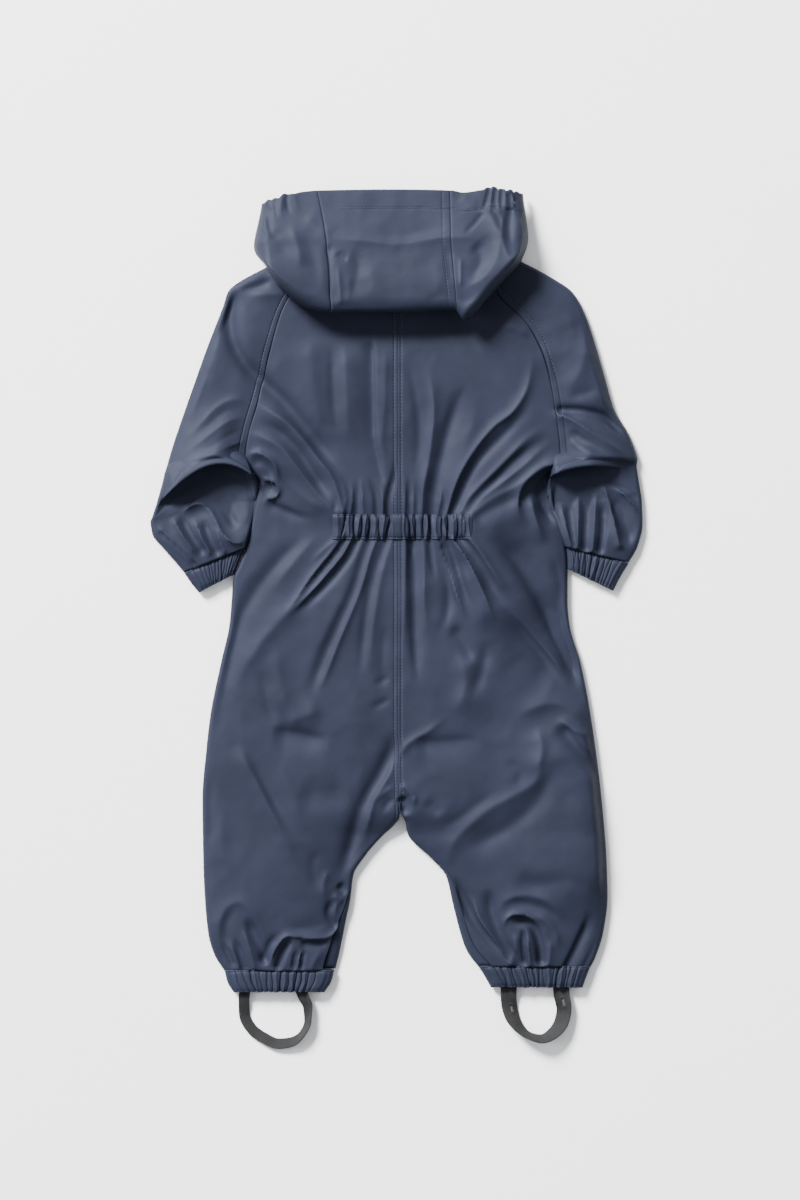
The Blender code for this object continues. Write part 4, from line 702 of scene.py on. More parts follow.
# ================================================================ body panels
ZIP_SLOT = (-62, -38, 12.3)     # the front panels part for the zip: from y, fully at y, half width
EDGE_FADE = (1, 10)             # a crease comes up over this distance from a side fold
OPEN_SEAM_GROOVE = 1.2          # share of a stitch row's dent along an open seam
LEAST_SPREAD = 5                # of the points beside the inner fold
STRIP_FLATTENS = (3, 8)         # the front panel's strip slopes where it shows wider than this


def body_rows(side):
    count = int((NECK_ROW - ANKLE_ROW[side]) / ROW_STEP)
    return np.linspace(NECK_ROW, ANKLE_ROW[side], count)


def crown_at(crown, along, width, closed_in, closed_out):
    """The crown across a panel: it dies out at a side fold and stays up at an open seam."""
    share = np.clip(along / width, 0, 1)
    outer = 1 - blend(1 - EDGE_CROWN, 1.0, closed_out) * share**3
    inner = 1 - closed_in * (1 - share) ** 3
    return crown * outer * inner


def edge_normals(side, turn, open_up):
    """Normals at a panel's outer edge, level where it is folded and upright where it is open."""
    turn = np.asarray(turn, float)
    upright = (1 - turn) * (1 if open_up else -1)
    return unit(np.stack([side * turn, np.zeros_like(turn), upright], axis=-1))


def drape(plan, base, share, crown, ready=BODY, loose=1.0):
    """The upper wall's points: its base, crown and creases, each weighted by share. Where it isn't
    loose, the creases draw no cloth sideways."""
    lift, pull = relief(plan[..., 0], plan[..., 1], ready)
    plan = plan + pull * (share * loose)[..., None]
    z = np.maximum(base + crown + lift * share, np.minimum(base, LOWEST_TOP))
    return np.concatenate([plan, z[..., None]], axis=-1)


def body_half(side):
    """Middle surfaces and normals of the back panel and the front panel of one half."""
    outline, inside = through(OUTLINE[side]), through(INNER[side])
    wrap_of, crown_of = through(WRAP[side]), through(CROWN)
    plans, bases, shares, crowns, stitched, fronts = [], [], [], [], [], []
    back_ends, front_ends = [], []
    for y in body_rows(side):
        closed_out = 1 - float(smooth(y, RAGLAN_CLOSES[1], RAGLAN_CLOSES[0]))
        closed_in = 1 - float(smooth(y, CROTCH_CLOSES[1], CROTCH_CLOSES[0]))
        start = float(inside(y)) + side * closed_in * CLOTH / 2
        width = side * (float(outline(y)) - start) - closed_out * CLOTH / 2
        seam = seam_distance(float(wrap_of(y)))

        spread = np.linspace(0, 1, SEAM_POINTS) * max(QUARTER - seam, LEAST_SPREAD)
        in_a, in_z = rolled(seam + GAP + spread, closed_in)
        out_a, out_z = rolled(np.linspace(QUARTER, GAP, SEAM_POINTS + 2), closed_out)
        strips = np.linspace(in_a[-1], width - out_a[0], PANEL_STRIPS + 1)[1:-1]
        along = np.concatenate([in_a, strips, width - out_a])
        base = np.concatenate([in_z, np.full(len(strips), TOP), out_z])
        fade_in = 1 - closed_in * (1 - smooth(along, *EDGE_FADE))
        fade_out = 1 - closed_out * (1 - smooth(width - along, *EDGE_FADE))
        on_top = smooth(base, LOW + ROLL, TOP)
        plans.append(np.stack([start + side * along, np.full(len(along), y)], -1))
        bases.append(base)
        crowns.append(crown_at(float(crown_of(y)), along, width, closed_in, closed_out) * on_top)
        shares.append(fade_in * fade_out * on_top)
        stitched.append((1 - closed_in) * groove(along, CENTRE_GROOVE)
                        + (1 - closed_out) * groove(width - along, 0) * OPEN_SEAM_GROOVE)

        zip_half = ZIP_SLOT[2] * float(smooth(y, *ZIP_SLOT[:2]))
        low_in, low_in_z = rolled(np.linspace(seam - GAP, -QUARTER, SEAM_POINTS), closed_in)
        sloped = LOW + (low_in_z - LOW) * np.clip(low_in / max(float(wrap_of(y)), ROLL), 0, 1)
        slope = STRIP_SLOPE[side] * float(smooth(wrap_of(y), *STRIP_FLATTENS))
        low_in_z = blend(low_in_z, sloped, slope)
        low_out, low_out_z = rolled(np.linspace(-QUARTER, -GAP, LOW_POINTS), closed_out)
        low_in = low_in + zip_half
        middle = np.linspace(low_in[-1], width - low_out[0], UNDER_POINTS)[1:-1]
        along = np.concatenate([low_in, middle, width - low_out])
        z = np.concatenate([low_in_z, np.full(len(middle), LOW), low_out_z])
        fronts.append(np.stack([start + side * along, np.full(len(along), y), z], -1))

        seam_turn = seam / ROLL if seam < QUARTER else math.pi / 2
        seam_normal = np.array([-side * math.cos(seam_turn), 0, math.sin(seam_turn)])
        up = np.array([0, 0, 1.0])
        for ends, way, open_up in ((back_ends, up, True), (front_ends, -up, False)):
            outer_normal = edge_normals(side, closed_out, open_up)
            ends.append((blend(way, seam_normal, closed_in), outer_normal))
    back = drape(np.array(plans), np.array(bases), np.array(shares), np.array(crowns))
    back[..., 2] += np.array(stitched)
    grids = []
    for grid, ends, way in ((back, back_ends, 1), (np.array(fronts), front_ends, -1)):
        normals = normals_of(grid)
        if normals[len(grid) // 2, grid.shape[1] // 2, 2] * way < 0:
            normals = -normals
        normals[:, 0] = unit(np.array([end[0] for end in ends]))
        normals[:, -1] = unit(np.array([end[1] for end in ends]))
        grids.append((grid, normals))
    return grids


def make_body():
    backs = {}
    for side, word in WORD.items():
        backs[side], (front, front_normals) = body_half(side)
        wall(f"back_{word}", *backs[side])
        wall(f"front_{word}", front[::2], front_normals[::2])
    return backs


# ================================================================ sleeves
SLEEVE_UPPER = {
    LEFT: (
        (-79, 371.5, -65, 381, 0, 3), (-97, 340, -98, 368, 0, 3), (-115, 308, -134, 351, 0, 3),
        (-121, 289, -160, 336.5, 0, 4), (-124.5, 276.5, -167.8, 329.5, 0, 4.5),
        (-128, 264, -173.2, 314, 0, 5), (-136, 228, -188, 276, 0, 6), (-144, 200, -202, 237, 0, 7),
        (-149, 179, -215, 200, 2, 11), (-151, 165, -225, 170, 7, 15.5),
        (-149, 152, -233, 141, 17, 19.5),
    ),
    RIGHT: (
        (77, 371.5, 63, 381, 0, 3), (88, 348, 94, 373, 0, 3), (104, 322, 126, 358, 0, 3),
        (119, 308, 156, 342, 0, 4), (132, 294, 176, 328, 0, 5), (143, 274, 188, 307, 0, 6),
        (151, 250, 199, 275, 0, 6), (156, 226, 208, 244, 0, 7), (160, 200, 218, 210, 0, 8.5),
        (163, 176, 232, 186, 1, 12.5), (164, 160, 241, 162, 3, 19),
    ),
}
LIP = {LEFT: (-136.5, 139, -240, 116, 27), RIGHT: (150, 142, 240, 154, 8)}
# Columns: inner x, y, outer x, y, arch, rise.
FOREARM = {
    LEFT: (
        (-139.5, 118, -246, 98, 7, -4), (-143.5, 98, -244, 86, 3, 1.4),
        (-147, 84, -231, 70, 0, 5), (-150, 73, -212, 48, 0, 4),
    ),
    RIGHT: (
        (150, 121, 245, 122, 2, -4), (158, 100, 246, 96, 0, 2.5), (164, 84, 241, 74, 0, 5),
        (168, 74, 232, 58, 0, 4),
    ),
}
# Across the elbow pleat. Columns: place between the last upper row (0), the lip (1) and the
# forearm (2), slide towards the cuff, height of the wall's middle.
PLEAT = (
    (0.60, 0, 25.0), (0.92, 0.6, 26.2), (1.03, 0.6, 26.0), (1.07, -0.8, 24.8), (1.12, -5, 22.4),
    (1.30, -20, 17.0), (1.50, -29, 10.5), (1.65, -23, 6.0), (1.80, -7, 3.8),
)
PLEAT_FADE = {LEFT: (5.0, 22.0), RIGHT: (9.0, 46.0)}      # how far in from each side it opens fully
UNDER_LIP = 1.4                 # the forearm's creases start at this place
ARCH_LEAN, ARCH_MIDDLE = 0.75, 0.8     # an arch leans inwards; its share at the sleeve's middle
SEAM_STRIPS, SEAM_STRIP_WIDTH = 5, 0.62     # finer strips beside the raglan seam
CLOSED_FADE = (1, 8)            # creases come up over this from the closed inner fold
ARCH_HOLDS = (0.1, 0.5)         # shares of the lip's arch over which the arched cloth draws taut
PLEAT_OPENS = (0.3, 1)          # shares of the pleat over which it loses its creases
PLEAT_LOSES, TAUT_KEEPS = 0.55, 0.4     # share of the creases gone above the lip, kept where taut
SEAM_EASE = 30                  # a sleeve takes the body's height this near to its raglan seam


def sleeve_table(side):
    """Columns: inner x, y, outer x, y, arch, rise, slide, pleat height, shares of pleat and
    forearm."""
    rows = [(*row, 0, PLEAT[0][2] - 1, 0, 0) for row in SLEEVE_UPPER[side]]
    before = np.array(SLEEVE_UPPER[side][-1][:5], float)
    middle, after = np.array(LIP[side], float), np.array(FOREARM[side][0][:5], float)
    for place, slide, height in PLEAT:
        line = blend(before, middle, place) if place < 1 else blend(middle, after, place - 1)
        if place >= 1:
            line[4] = middle[4]
        rise = SLEEVE_UPPER[side][-1][5] if place < 1 else 0
        rows.append((*line, rise, slide, height, 1, float(place > UNDER_LIP)))
    return np.array(rows + [(*row[:5], row[5], 0, 0, 0, 1) for row in FOREARM[side]], float)


def fine_rows(table, step):
    """The table's rows joined by smooth curves and read again every few millimetres of cloth."""
    middle = (table[:, 0:2] + table[:, 2:4]) / 2
    middle = np.column_stack([middle, table[:, 7] * table[:, 8]])
    middle[:, 1] += table[:, 4] * ARCH_MIDDLE
    middle[:, 1] -= table[:, 6]
    gaps = np.linalg.norm(np.diff(middle, axis=0), axis=1)
    length = np.concatenate([[0], np.cumsum(np.maximum(gaps, 2))])
    at = np.linspace(0, length[-1], int(length[-1] / step))
    return np.column_stack([through(list(zip(length, column)))(at) for column in table.T])


def sleeve(side):
    """Middle surface of a sleeve, one sheet: over the top from its inner seam, round its outer fold
    and back under to the same seam."""
    crown_of = through(CROWN)
    plans, bases, shares, crowns, stitched, first, last, arms, loose = ([] for _ in range(9))
    for row in fine_rows(sleeve_table(side), SLEEVE_STEP):
        in_x, in_y, out_x, out_y, arch, rise, slide, height, pleated, forearm = row
        closed = 1 - float(smooth(in_y, RAGLAN_CLOSES[1], RAGLAN_CLOSES[0]))
        inner, outer = np.array([in_x, in_y]), np.array([out_x, out_y])
        way = unit(outer - inner)
        down = side * np.array([way[1], -way[0]])
        start = inner + way * closed * CLOTH / 2
        width = float(np.dot(outer - start, way)) - CLOTH / 2

        turn = np.concatenate([np.linspace(GAP, QUARTER, SEAM_POINTS),
                               QUARTER + np.arange(1, SEAM_STRIPS + 1) * SEAM_STRIP_WIDTH])
        in_a, in_z = rolled(turn, closed)
        out_a, out_z = rolled(np.linspace(QUARTER, -QUARTER, FOLD_POINTS), 1)
        strips = np.linspace(in_a[-1], width - out_a[0], SLEEVE_STRIPS + 1)[1:-1]
        low_a, low_z = rolled(-np.linspace(QUARTER, GAP, LOW_POINTS), closed)
        under = np.linspace(width - out_a[-1], low_a[0], UNDER_POINTS)[1:-1]
        along = np.concatenate([in_a, strips, width - out_a, under, low_a])
        tops, lows = np.full(len(strips), TOP), np.full(len(under), LOW)
        z = np.concatenate([in_z, tops, out_z, lows, low_z])
        upper = np.arange(len(along)) < len(in_a) + len(strips) + FOLD_POINTS // 2 + 1

        share = np.clip(along / width, 0, 1)
        bow = arch * np.sin(math.pi * share**ARCH_LEAN)
        inner_fade, outer_fade = PLEAT_FADE[side]
        depth = smooth(along, 1, 1 + inner_fade) * smooth(width - along, 2, 2 + outer_fade)
        plan = start + along[:, None] * way + ((slide * depth - bow) * upper)[:, None] * down
        on_top = smooth(z, LOW + ROLL, TOP) * upper
        body_edge = float(crown_of(in_y)) * EDGE_CROWN
        rise = blend(body_edge, rise, 1 - (1 - smooth(along, 0, SEAM_EASE)) * (1 - closed))
        crown = crown_at(1.0, along, width, 0, 1) * rise * on_top
        crown = np.where(upper, blend(crown, (height - z) * depth, pleated), 0)
        fade = smooth(width - along, *EDGE_FADE)
        fade = fade * (1 - closed * (1 - smooth(along, *CLOSED_FADE)))
        plans.append(plan)
        bases.append(z)
        crowns.append(crown)
        free = 1 - smooth(arch / LIP[side][4], *ARCH_HOLDS) * (1 - forearm)
        near_fold = 1 - smooth(pleated, *PLEAT_OPENS) * blend(PLEAT_LOSES, 1.0, forearm)
        near_fold = near_fold * blend(TAUT_KEEPS, 1, free)
        shares.append(on_top * fade * near_fold)
        loose.append(np.full(len(along), free))
        dents = groove(along, 0) * OPEN_SEAM_GROOVE + groove(along, RAGLAN_GROOVE)
        stitched.append((1 - closed) * dents * upper)
        arms.append(np.full(len(along), forearm))
        out = np.array([-way[0], -way[1], 0])
        first.append(blend(np.array([0, 0, 1.0]), out, closed))
        last.append(blend(np.array([0, 0, -1.0]), out, closed))
    plans, bases, shares, crowns, loose = map(np.array, (plans, bases, shares, crowns, loose))
    grid = blend(drape(plans, bases, shares, crowns, BODY, loose),
                 drape(plans, bases, shares, crowns, FOREARMS, loose), np.array(arms)[..., None])
    grid[..., 2] += np.array(stitched)
    normals = turned_up(normals_of(grid), 3, 12)
    normals[:, 0], normals[:, -1] = unit(np.array(first)), unit(np.array(last))
    return grid, normals


def make_sleeves():
    made = {}
    for side, word in WORD.items():
        made[side] = sleeve(side)
        wall(f"sleeve_{word}", *made[side])
    return made


# ================================================================ casings
WAIST_TOP, WAIST_BOTTOM = 514.5, 539.5
WAIST_LEFT, WAIST_RIGHT = 332.5, 472
WAIST_STITCH = 1.4             # the stitch lines lie this far inside its edges
WAIST_BASE = TOP + float(through(CROWN)(94)) + 1.3
WAIST_FOLLOWS = 0.78           # share of the panels' creases that it follows
WAIST_COLUMNS, WAIST_ROWS = 330, 34
WAIST_PUFF, WAIST_DENT, WAIST_BAND = 1.5, 1.3, 0.8     # rises of its swelling, stitches, middle
RIB_SWAY = 0.6                 # its creases wander sideways by this
PUFF_REACH = 9                 # a casing swells over this distance from its edges


def puffed(edge):
    return 1 - (1 - np.clip(edge / PUFF_REACH, 0, 1)) ** 2


def make_waist_casing():
    """The gathered elastic casing: it follows the panels, with its own puffs and creases."""
    bx, by = np.meshgrid(np.linspace(WAIST_LEFT, WAIST_RIGHT, WAIST_COLUMNS),
                         np.linspace(WAIST_TOP, WAIST_BOTTOM, WAIST_ROWS))
    down = (by - WAIST_TOP) / (WAIST_BOTTOM - WAIST_TOP)
    x, y = BOARD[0] + bx, BOARD[1] - by
    lift, _ = relief(x, y)
    own = np.zeros_like(x)
    edge = np.minimum(by - WAIST_TOP, WAIST_BOTTOM - by)
    puff = puffed(edge)
    for top_x, bottom_x, width, rise in WAIST_CREASES:
        line = blend(top_x, bottom_x, down) + RIB_SWAY * np.sin(5 * down + top_x)
        own += rise * crest(bx - line, width * RIB_WIDTH) * blend(0.75, 1.0, puff)
    band = np.exp(-(np.abs(bx - SEAM_BAND[0]) / SEAM_BAND[1]) ** 6)
    own = own * (1 - band) + WAIST_BAND * band
    own += groove(edge, WAIST_STITCH) * WAIST_DENT + WAIST_PUFF * puff
    ends = smooth(np.minimum(bx - WAIST_LEFT, WAIST_RIGHT - bx), -1, 6)
    z = WAIST_BASE + lift * WAIST_FOLLOWS + own * blend(0.3, 1, ends)
    grid = np.stack([x, y, z], -1)
    wall("waist_casing", grid, np.broadcast_to((0.0, 0.0, 1.0), grid.shape))
    return grid


# Columns: inner x, y, outer x, y. Rows: top edge, middle, hem.
CUFFS = {
    "cuff_left": ((-152, 73.4, -212.2, 47.6), (-157, 60, -204.5, 36.5),
                  (-162.5, 46.5, -197.5, 28)),
    "cuff_right": ((169.2, 74.4, 232, 57.2), (170.4, 63, 224, 44), (170.8, 52, 216.5, 29.5)),
    "ankle_left": ((-62, -348.9, -172, -348.9), (-65, -360, -169, -361), (-72, -371, -163, -371)),
    "ankle_right": ((81.5, -344.9, 194, -344.9), (88, -355, 190, -355), (94, -366, 186, -366.5)),
}
CASING_HEIGHT = {"cuff": 8.6, "ankle": 10.0}
RING_RISE = {"cuff": 0.72, "ankle": 0.68}      # share of the tables' rises that shows
# Columns: place across at the top edge and at the hem, half width in mm, rise.
CASING_CREASES = {
    "cuff_left": (
        (0.05, 0.04, 1.3, -1.6), (0.12, 0.11, 1.1, -2.4), (0.16, 0.15, 1.2, 1.0),
        (0.20, 0.19, 1.0, -2.6), (0.27, 0.27, 1.2, -2.2), (0.34, 0.33, 1.2, -2.8),
        (0.38, 0.37, 1.2, 1.1), (0.42, 0.41, 1.0, -2.4), (0.49, 0.49, 1.2, -2.6),
        (0.56, 0.57, 1.1, -2.2), (0.62, 0.63, 1.1, -2.4), (0.69, 0.70, 1.0, -1.8),
        (0.78, 0.80, 1.1, -1.4), (0.90, 0.91, 1.2, -0.9),
    ),
    "cuff_right": (
        (0.04, 0.07, 1.1, -2.4), (0.10, 0.09, 0.9, -2.0), (0.15, 0.21, 1.2, -3.0),
        (0.215, 0.19, 0.9, -2.0), (0.24, 0.25, 1.4, 1.2), (0.29, 0.35, 1.1, -3.2),
        (0.345, 0.33, 0.9, -1.8), (0.40, 0.46, 1.3, -3.4), (0.45, 0.43, 1.0, -1.8),
        (0.50, 0.51, 1.6, 1.3), (0.55, 0.60, 1.1, -3.0), (0.61, 0.58, 0.9, -1.6),
        (0.66, 0.71, 1.2, -2.6), (0.745, 0.76, 1.0, -1.8), (0.80, 0.84, 1.2, -2.0),
        (0.91, 0.92, 1.2, -1.0),
    ),
    "ankle_left": (
        (0.13, 0.12, 1.2, -1.8), (0.20, 0.19, 1.2, -2.8), (0.235, 0.23, 1.2, 1.2),
        (0.27, 0.265, 1.3, -3.0), (0.325, 0.32, 1.4, -3.8), (0.36, 0.355, 1.6, 1.3),
        (0.40, 0.40, 1.2, -2.6), (0.44, 0.44, 1.6, 1.2), (0.485, 0.485, 1.5, -4.2),
        (0.53, 0.53, 1.8, 1.2), (0.575, 0.57, 1.2, -2.2), (0.625, 0.63, 1.3, -2.8),
        (0.70, 0.69, 1.2, -2.0), (0.755, 0.75, 1.6, 1.2), (0.80, 0.775, 1.6, -4.0),
        (0.87, 0.85, 1.3, -2.4), (0.94, 0.93, 1.2, -1.4),
    ),
    "ankle_right": (
        (0.09, 0.12, 1.3, -2.2), (0.17, 0.15, 1.4, -3.2), (0.215, 0.205, 1.8, 1.3),
        (0.265, 0.255, 1.2, -3.4), (0.30, 0.33, 1.0, -1.8), (0.35, 0.36, 2.0, 1.4),
        (0.405, 0.43, 1.3, -4.2), (0.445, 0.44, 0.9, -2.0), (0.475, 0.49, 1.3, -3.4),
        (0.51, 0.51, 1.3, 1.3), (0.54, 0.54, 1.0, -2.8), (0.575, 0.595, 0.9, -1.8),
        (0.64, 0.65, 2.4, 1.4), (0.695, 0.69, 1.0, -2.0), (0.745, 0.725, 1.6, -4.6),
        (0.785, 0.775, 1.5, 1.4), (0.82, 0.835, 1.2, -3.4), (0.86, 0.865, 1.2, -2.6),
        (0.90, 0.90, 1.2, 1.0), (0.94, 0.935, 1.1, -2.0),
    ),
}
RING_ROWS, RING_COLUMNS, RING_UNDER = 22, 290, 24
RING_TURN = 75                 # degrees up and down from level round its side folds
RING_STITCH, RING_DENT = 1.6, 1.2
RING_LIFT, RING_PUFF = 0.6, 0.9     # the top stands up by these between the creases
RING_SWAY, RING_DRAW = 0.4, 0.5     # creases wander sideways, and draw the hem to and fro
RING_LEAST = 1.2               # between the top's lowest creases and its underside


def make_ring(name):
    """A flattened ring of gathered casing, flat where it rests."""
    kind = name.split("_")[0]
    height = CASING_HEIGHT[kind]
    radius, low = (height - CASING) / 2, CASING / 2
    rows = np.linspace(0, 1, RING_ROWS)
    table = [through(list(zip((0, 0.5, 1), column)))(rows) for column in zip(*CUFFS[name])]
    share = np.linspace(0, 1, RING_COLUMNS)
    turns = np.radians(np.linspace(RING_TURN, -RING_TURN, 9))
    bottom = np.linspace(1, 0, RING_UNDER)
    grid = []
    for down, in_x, in_y, out_x, out_y in zip(rows, *table):
        inner, outer = np.array([in_x, in_y]), np.array([out_x, out_y])
        way = unit(outer - inner)
        hemward = way[::-1] * (1, -1) * (1 if way[0] > 0 else -1)
        start = inner + way * CASING / 2
        width = float(np.linalg.norm(outer - inner)) - CASING
        edge = min(down, 1 - down) * RING_ROWS
        wave = np.zeros_like(share)
        for top_at, hem_at, half, rise in CASING_CREASES[name]:
            bend = RING_SWAY * math.sin(7 * down + 40 * top_at)
            across = (share - blend(top_at, hem_at, down)) * width + bend
            wave += RING_RISE[kind] * rise * crest(across, half * RIB_WIDTH)
        ends = smooth(np.minimum(share, 1 - share), 0, 0.05)
        top_z = low + 2 * radius + (wave + RING_LIFT + RING_PUFF * puffed(edge)) * ends
        top_z += groove(edge, RING_STITCH) * RING_DENT
        along = np.concatenate([
            radius + share * (width - 2 * radius), width - radius + radius * np.cos(turns),
            radius + bottom * (width - 2 * radius), radius - radius * np.cos(turns[::-1]),
        ])
        z = np.concatenate([
            np.maximum(top_z, low + RING_LEAST), low + radius + radius * np.sin(turns),
            np.full(len(bottom), low), low + radius + radius * np.sin(turns[::-1]),
        ])
        drawn = np.concatenate([wave * RING_DRAW, np.zeros(len(along) - len(share))])
        drawn *= smooth(down, 0.3, 1)
        plan = start + along[:, None] * way + drawn[:, None] * hemward
        grid.append(np.concatenate([plan, z[:, None]], axis=1))
    grid = np.array(grid)
    wall(name, grid, turned_up(normals_of(grid, closed=True), 1, 5), CASING, closed=True)
    return grid


# ================================================================ hood
# Columns: share across, x, y.
HOOD_HEM = ((0, -134, 413), (0.09, -112, 421), (0.17, -90, 426), (0.25, -76, 427), (0.5, 3, 428),
            (0.72, 55, 427), (0.77, 66, 425), (0.9, 93, 428), (1, 126, 423))
HOOD_RIDGE = ((0, -142, 374), (0.1, -118, 378), (0.25, -66, 380), (0.5, 2, 380), (0.72, 56, 383),
              (0.8, 78, 383), (0.9, 104, 385), (1, 131, 383))
HOOD_FOLD = ((0, -129, 353), (0.08, -113, 329), (0.2, -80, 309), (0.25, -60, 307), (0.5, 0, 307),
             (0.7, 58, 309), (0.76, 68, 299), (0.86, 92, 323), (1, 124, 358))
HOOD_RIDGE_AT = 0.40
# Columns: share down from the hem, height.
HOOD_PROFILE = ((0, 21), (0.16, 26), (0.32, 31.4), (0.40, 34), (0.47, 35.4), (0.62, 39.2),
                (0.8, 43.6), (1, 45.5))
# Columns: share across, height under the lower fold.
HOOD_UNDERCUT = ((0, 10), (0.12, 22), (0.25, 35), (0.72, 35), (0.88, 25), (1, 10))
# Columns: panel, share across where it starts and ends.
HOOD_PANELS = (("hood_left", 0, 0.2375), ("hood_centre", 0.2375, 0.7125),
               ("hood_right", 0.7125, 1))
HOOD_STRIPS = 190              # across the whole hood
HOOD_EDGE_ROUND, HOOD_EDGE_FADE = 15.0, (0, 6)     # the edges round off, creases come up
UNDERCUT_GROWS = (0.1, 0.8)    # shares down the hood
HOOD_HEM_SIDE_HEIGHT = 9.0
HOOD_STITCH = 17.5             # the hem's stitches lie this far below its edge
HOOD_STITCH_STARTS = (0.3, 0.36)     # shares across
HOOD_FOLDS = (
    (((330, 240), (360, 242), (398, 246), (424, 242), (446, 239), (468, 240), (486, 245)),
     4, 7, 3.0, 0.2, 0.2),
    (((368, 234), (398, 238), (430, 232), (450, 229)), 8, 4, -2.0, 0.3, 0.3),
    (((478, 204), (491, 220), (498, 238), (497, 256), (488, 272), (476, 284), (460, 294)),
     9, 4, 4.2, 0.25, 0.25),
    (((472, 246), (480, 256), (478, 270), (466, 284)), 9, 7, -4.6, 0.2, 0.3),
    (((430, 260), (440, 280), (437, 300)), 10, 8, 1.8, 0.3, 0.4),
    (((446, 247), (448, 264), (451, 288)), 5, 3.4, -2.6, 0.3, 0.3),
    (((459.5, 258), (460, 276), (460, 290)), 3, 1.6, 2.4, 0.3, 0.2),
    (((331, 244), (328.5, 264), (331, 290), (337, 308)), 3.4, 4, -3.4, 0.15, 0.15),
    (((338, 254), (342, 259), (349, 260)), 4, 4, -2.2, 0.3, 0.3),
    (((338, 266), (340, 288), (341, 308)), 2.6, 2.2, 2.2, 0.3, 0.1),
    (((350, 252), (358, 262), (356, 284), (350, 304)), 8, 6, -3.0, 0.25, 0.35),
    (((348, 276), (350, 292), (347, 308)), 4, 4, 1.2, 0.3, 0.2),
    (((366, 262), (374, 284), (368, 306)), 12, 9, 2.0, 0.4, 0.3),
    (((288, 222), (296, 240), (300, 256), (302, 272)), 7, 5, 3.2, 0.3, 0.3),
    (((272, 232), (282, 248), (290, 262)), 8, 8, -2.2, 0.3, 0.4),
    (((304, 230), (311, 250), (318, 276), (322, 296)), 8, 10, -3.0, 0.3, 0.3),
    (((304, 216), (318, 228), (330, 240)), 8, 6, 1.8, 0.3, 0.3),
    (((264, 216), (266, 232), (274, 244)), 3, 3, 2.2, 0.2, 0.4),
    (((271, 212), (270, 228), (274, 238)), 2.4, 2.4, -2.6, 0, 0.5),
    (((258, 240), (264, 256), (276, 274)), 5, 5, -1.8, 0.3, 0.4),
    (((484, 214), (474, 226), (464, 236)), 1.6, 2.6, -2.6, 0.2, 0.3),
    (((458, 198), (470, 206), (480, 208)), 6, 6, 1.6, 0.3, 0.3),
    (((511, 208), (508, 228), (510, 250)), 4, 3.4, -5.0, 0.1, 0.4),
    (((503, 214), (502, 236), (507, 256), (514, 266)), 3.4, 3.4, 3.2, 0.2, 0.3),
    (((517, 214), (522, 234), (519, 254), (511, 266)), 3.4, 4.4, 4.4, 0.2, 0.3),
    (((493, 212), (499, 222), (502, 236)), 2.4, 2.4, -2.0, 0, 0.5),
    (((420, 302), (446, 298), (466, 303), (480, 296)), 6, 4, -1.6, 0.3, 0.3),
    (((462, 320), (470, 307), (484, 294)), 4, 4, 2.0, 0.2, 0.5),
    (((400, 262), (420, 258), (432, 250)), 10, 11, 1.4, 0.4, 0.4),
    # gathers in the elastic corners of the hem
    (((267, 207), (268, 216), (269, 226)), 1.5, 1.5, -2.6, 0, 0.5),
    (((263.5, 210), (264, 220), (266, 230)), 1.8, 1.8, 1.8, 0, 0.5),
    (((275, 203), (276, 213), (279, 222)), 1.6, 1.6, -2.0, 0, 0.6),
    (((281, 200), (281.5, 211), (284, 220)), 2, 2, 1.8, 0, 0.6),
    (((287, 199), (288.5, 209), (292, 218)), 1.5, 1.5, -3.0, 0, 0.6),
    (((295, 198), (297, 208), (302, 216)), 2.4, 2.4, 1.2, 0, 0.6),
    (((488.5, 192), (486, 203), (481, 214)), 1.4, 1.4, -3.4, 0, 0.5),
    (((491.5, 192), (490, 204), (489, 218)), 1.2, 1.2, 2.0, 0, 0.6),
    (((495, 192), (494.5, 204), (497, 214)), 1.3, 1.3, -3.0, 0, 0.6),
    (((498.5, 192), (498, 204), (501, 216)), 1.3, 1.3, 2.0, 0, 0.6),
    (((501.5, 193), (500.5, 205), (500, 214)), 1.2, 1.2, -2.2, 0, 0.6),
    (((505.5, 194), (505, 206), (504, 218)), 1.6, 1.6, 2.0, 0, 0.6),
    (((509.5, 196), (510.5, 206), (510, 216)), 1.3, 1.3, -3.8, 0, 0.5),
    (((513, 197), (513, 207), (513.5, 216)), 1.1, 1.1, 2.2, 0, 0.6),
    (((515.5, 198), (515, 208), (517, 218)), 1.1, 1.1, -2.8, 0, 0.6),
    (((519, 199), (519, 210), (521, 220)), 1.3, 1.3, 1.8, 0, 0.6),
)
# Scallops of the gathered hem corners. Columns: x on the board, half width, rise.
HOOD_SCALLOPS = (
    (262, 2.6, 1.8), (268.5, 2.8, 2.6), (275, 2.4, 1.2), (284, 3.2, 2.8), (291, 2.2, 0.8),
    (487, 2.2, 1.6), (493, 2.6, 3.2), (499.5, 2.2, 1.8), (504, 2.0, 2.2), (510, 2.6, 3.0),
    (516.5, 2.6, 2.4), (522, 2.0, 1.6),
)
SCALLOP_REACH, SCALLOP_SQUARE = 9, 2.6     # down from the hem; how blunt they are
HEM_ROUND = 1.3                 # radius of the turn at the hem
HEM_TUCK, HEM_TUCK_SLOPE = (4, 9, 14), 0.18     # rows of the layer turned under there
FOLD_ROUND = 6                  # radius of the turn at the lower fold
FOLD_TURNS = (25, 50, 75, 90)   # degrees round it
FOLD_CLEAR = (9, 16)            # the turn dies out where the fold stands lower than this
HOOD_PULL = 0.8                 # share of the sideways pull to the crests that the hood shows
SEAM_DENT, TOPSTITCH_DENT, TOPSTITCH = 0.55, 0.6, 7.5      # shares of a groove; from the seam
HOOD = creases(hood=HOOD_FOLDS)
LINES = {line: (through(line, 1), through(line, 2)) for line in (HOOD_HEM, HOOD_RIDGE, HOOD_FOLD)}


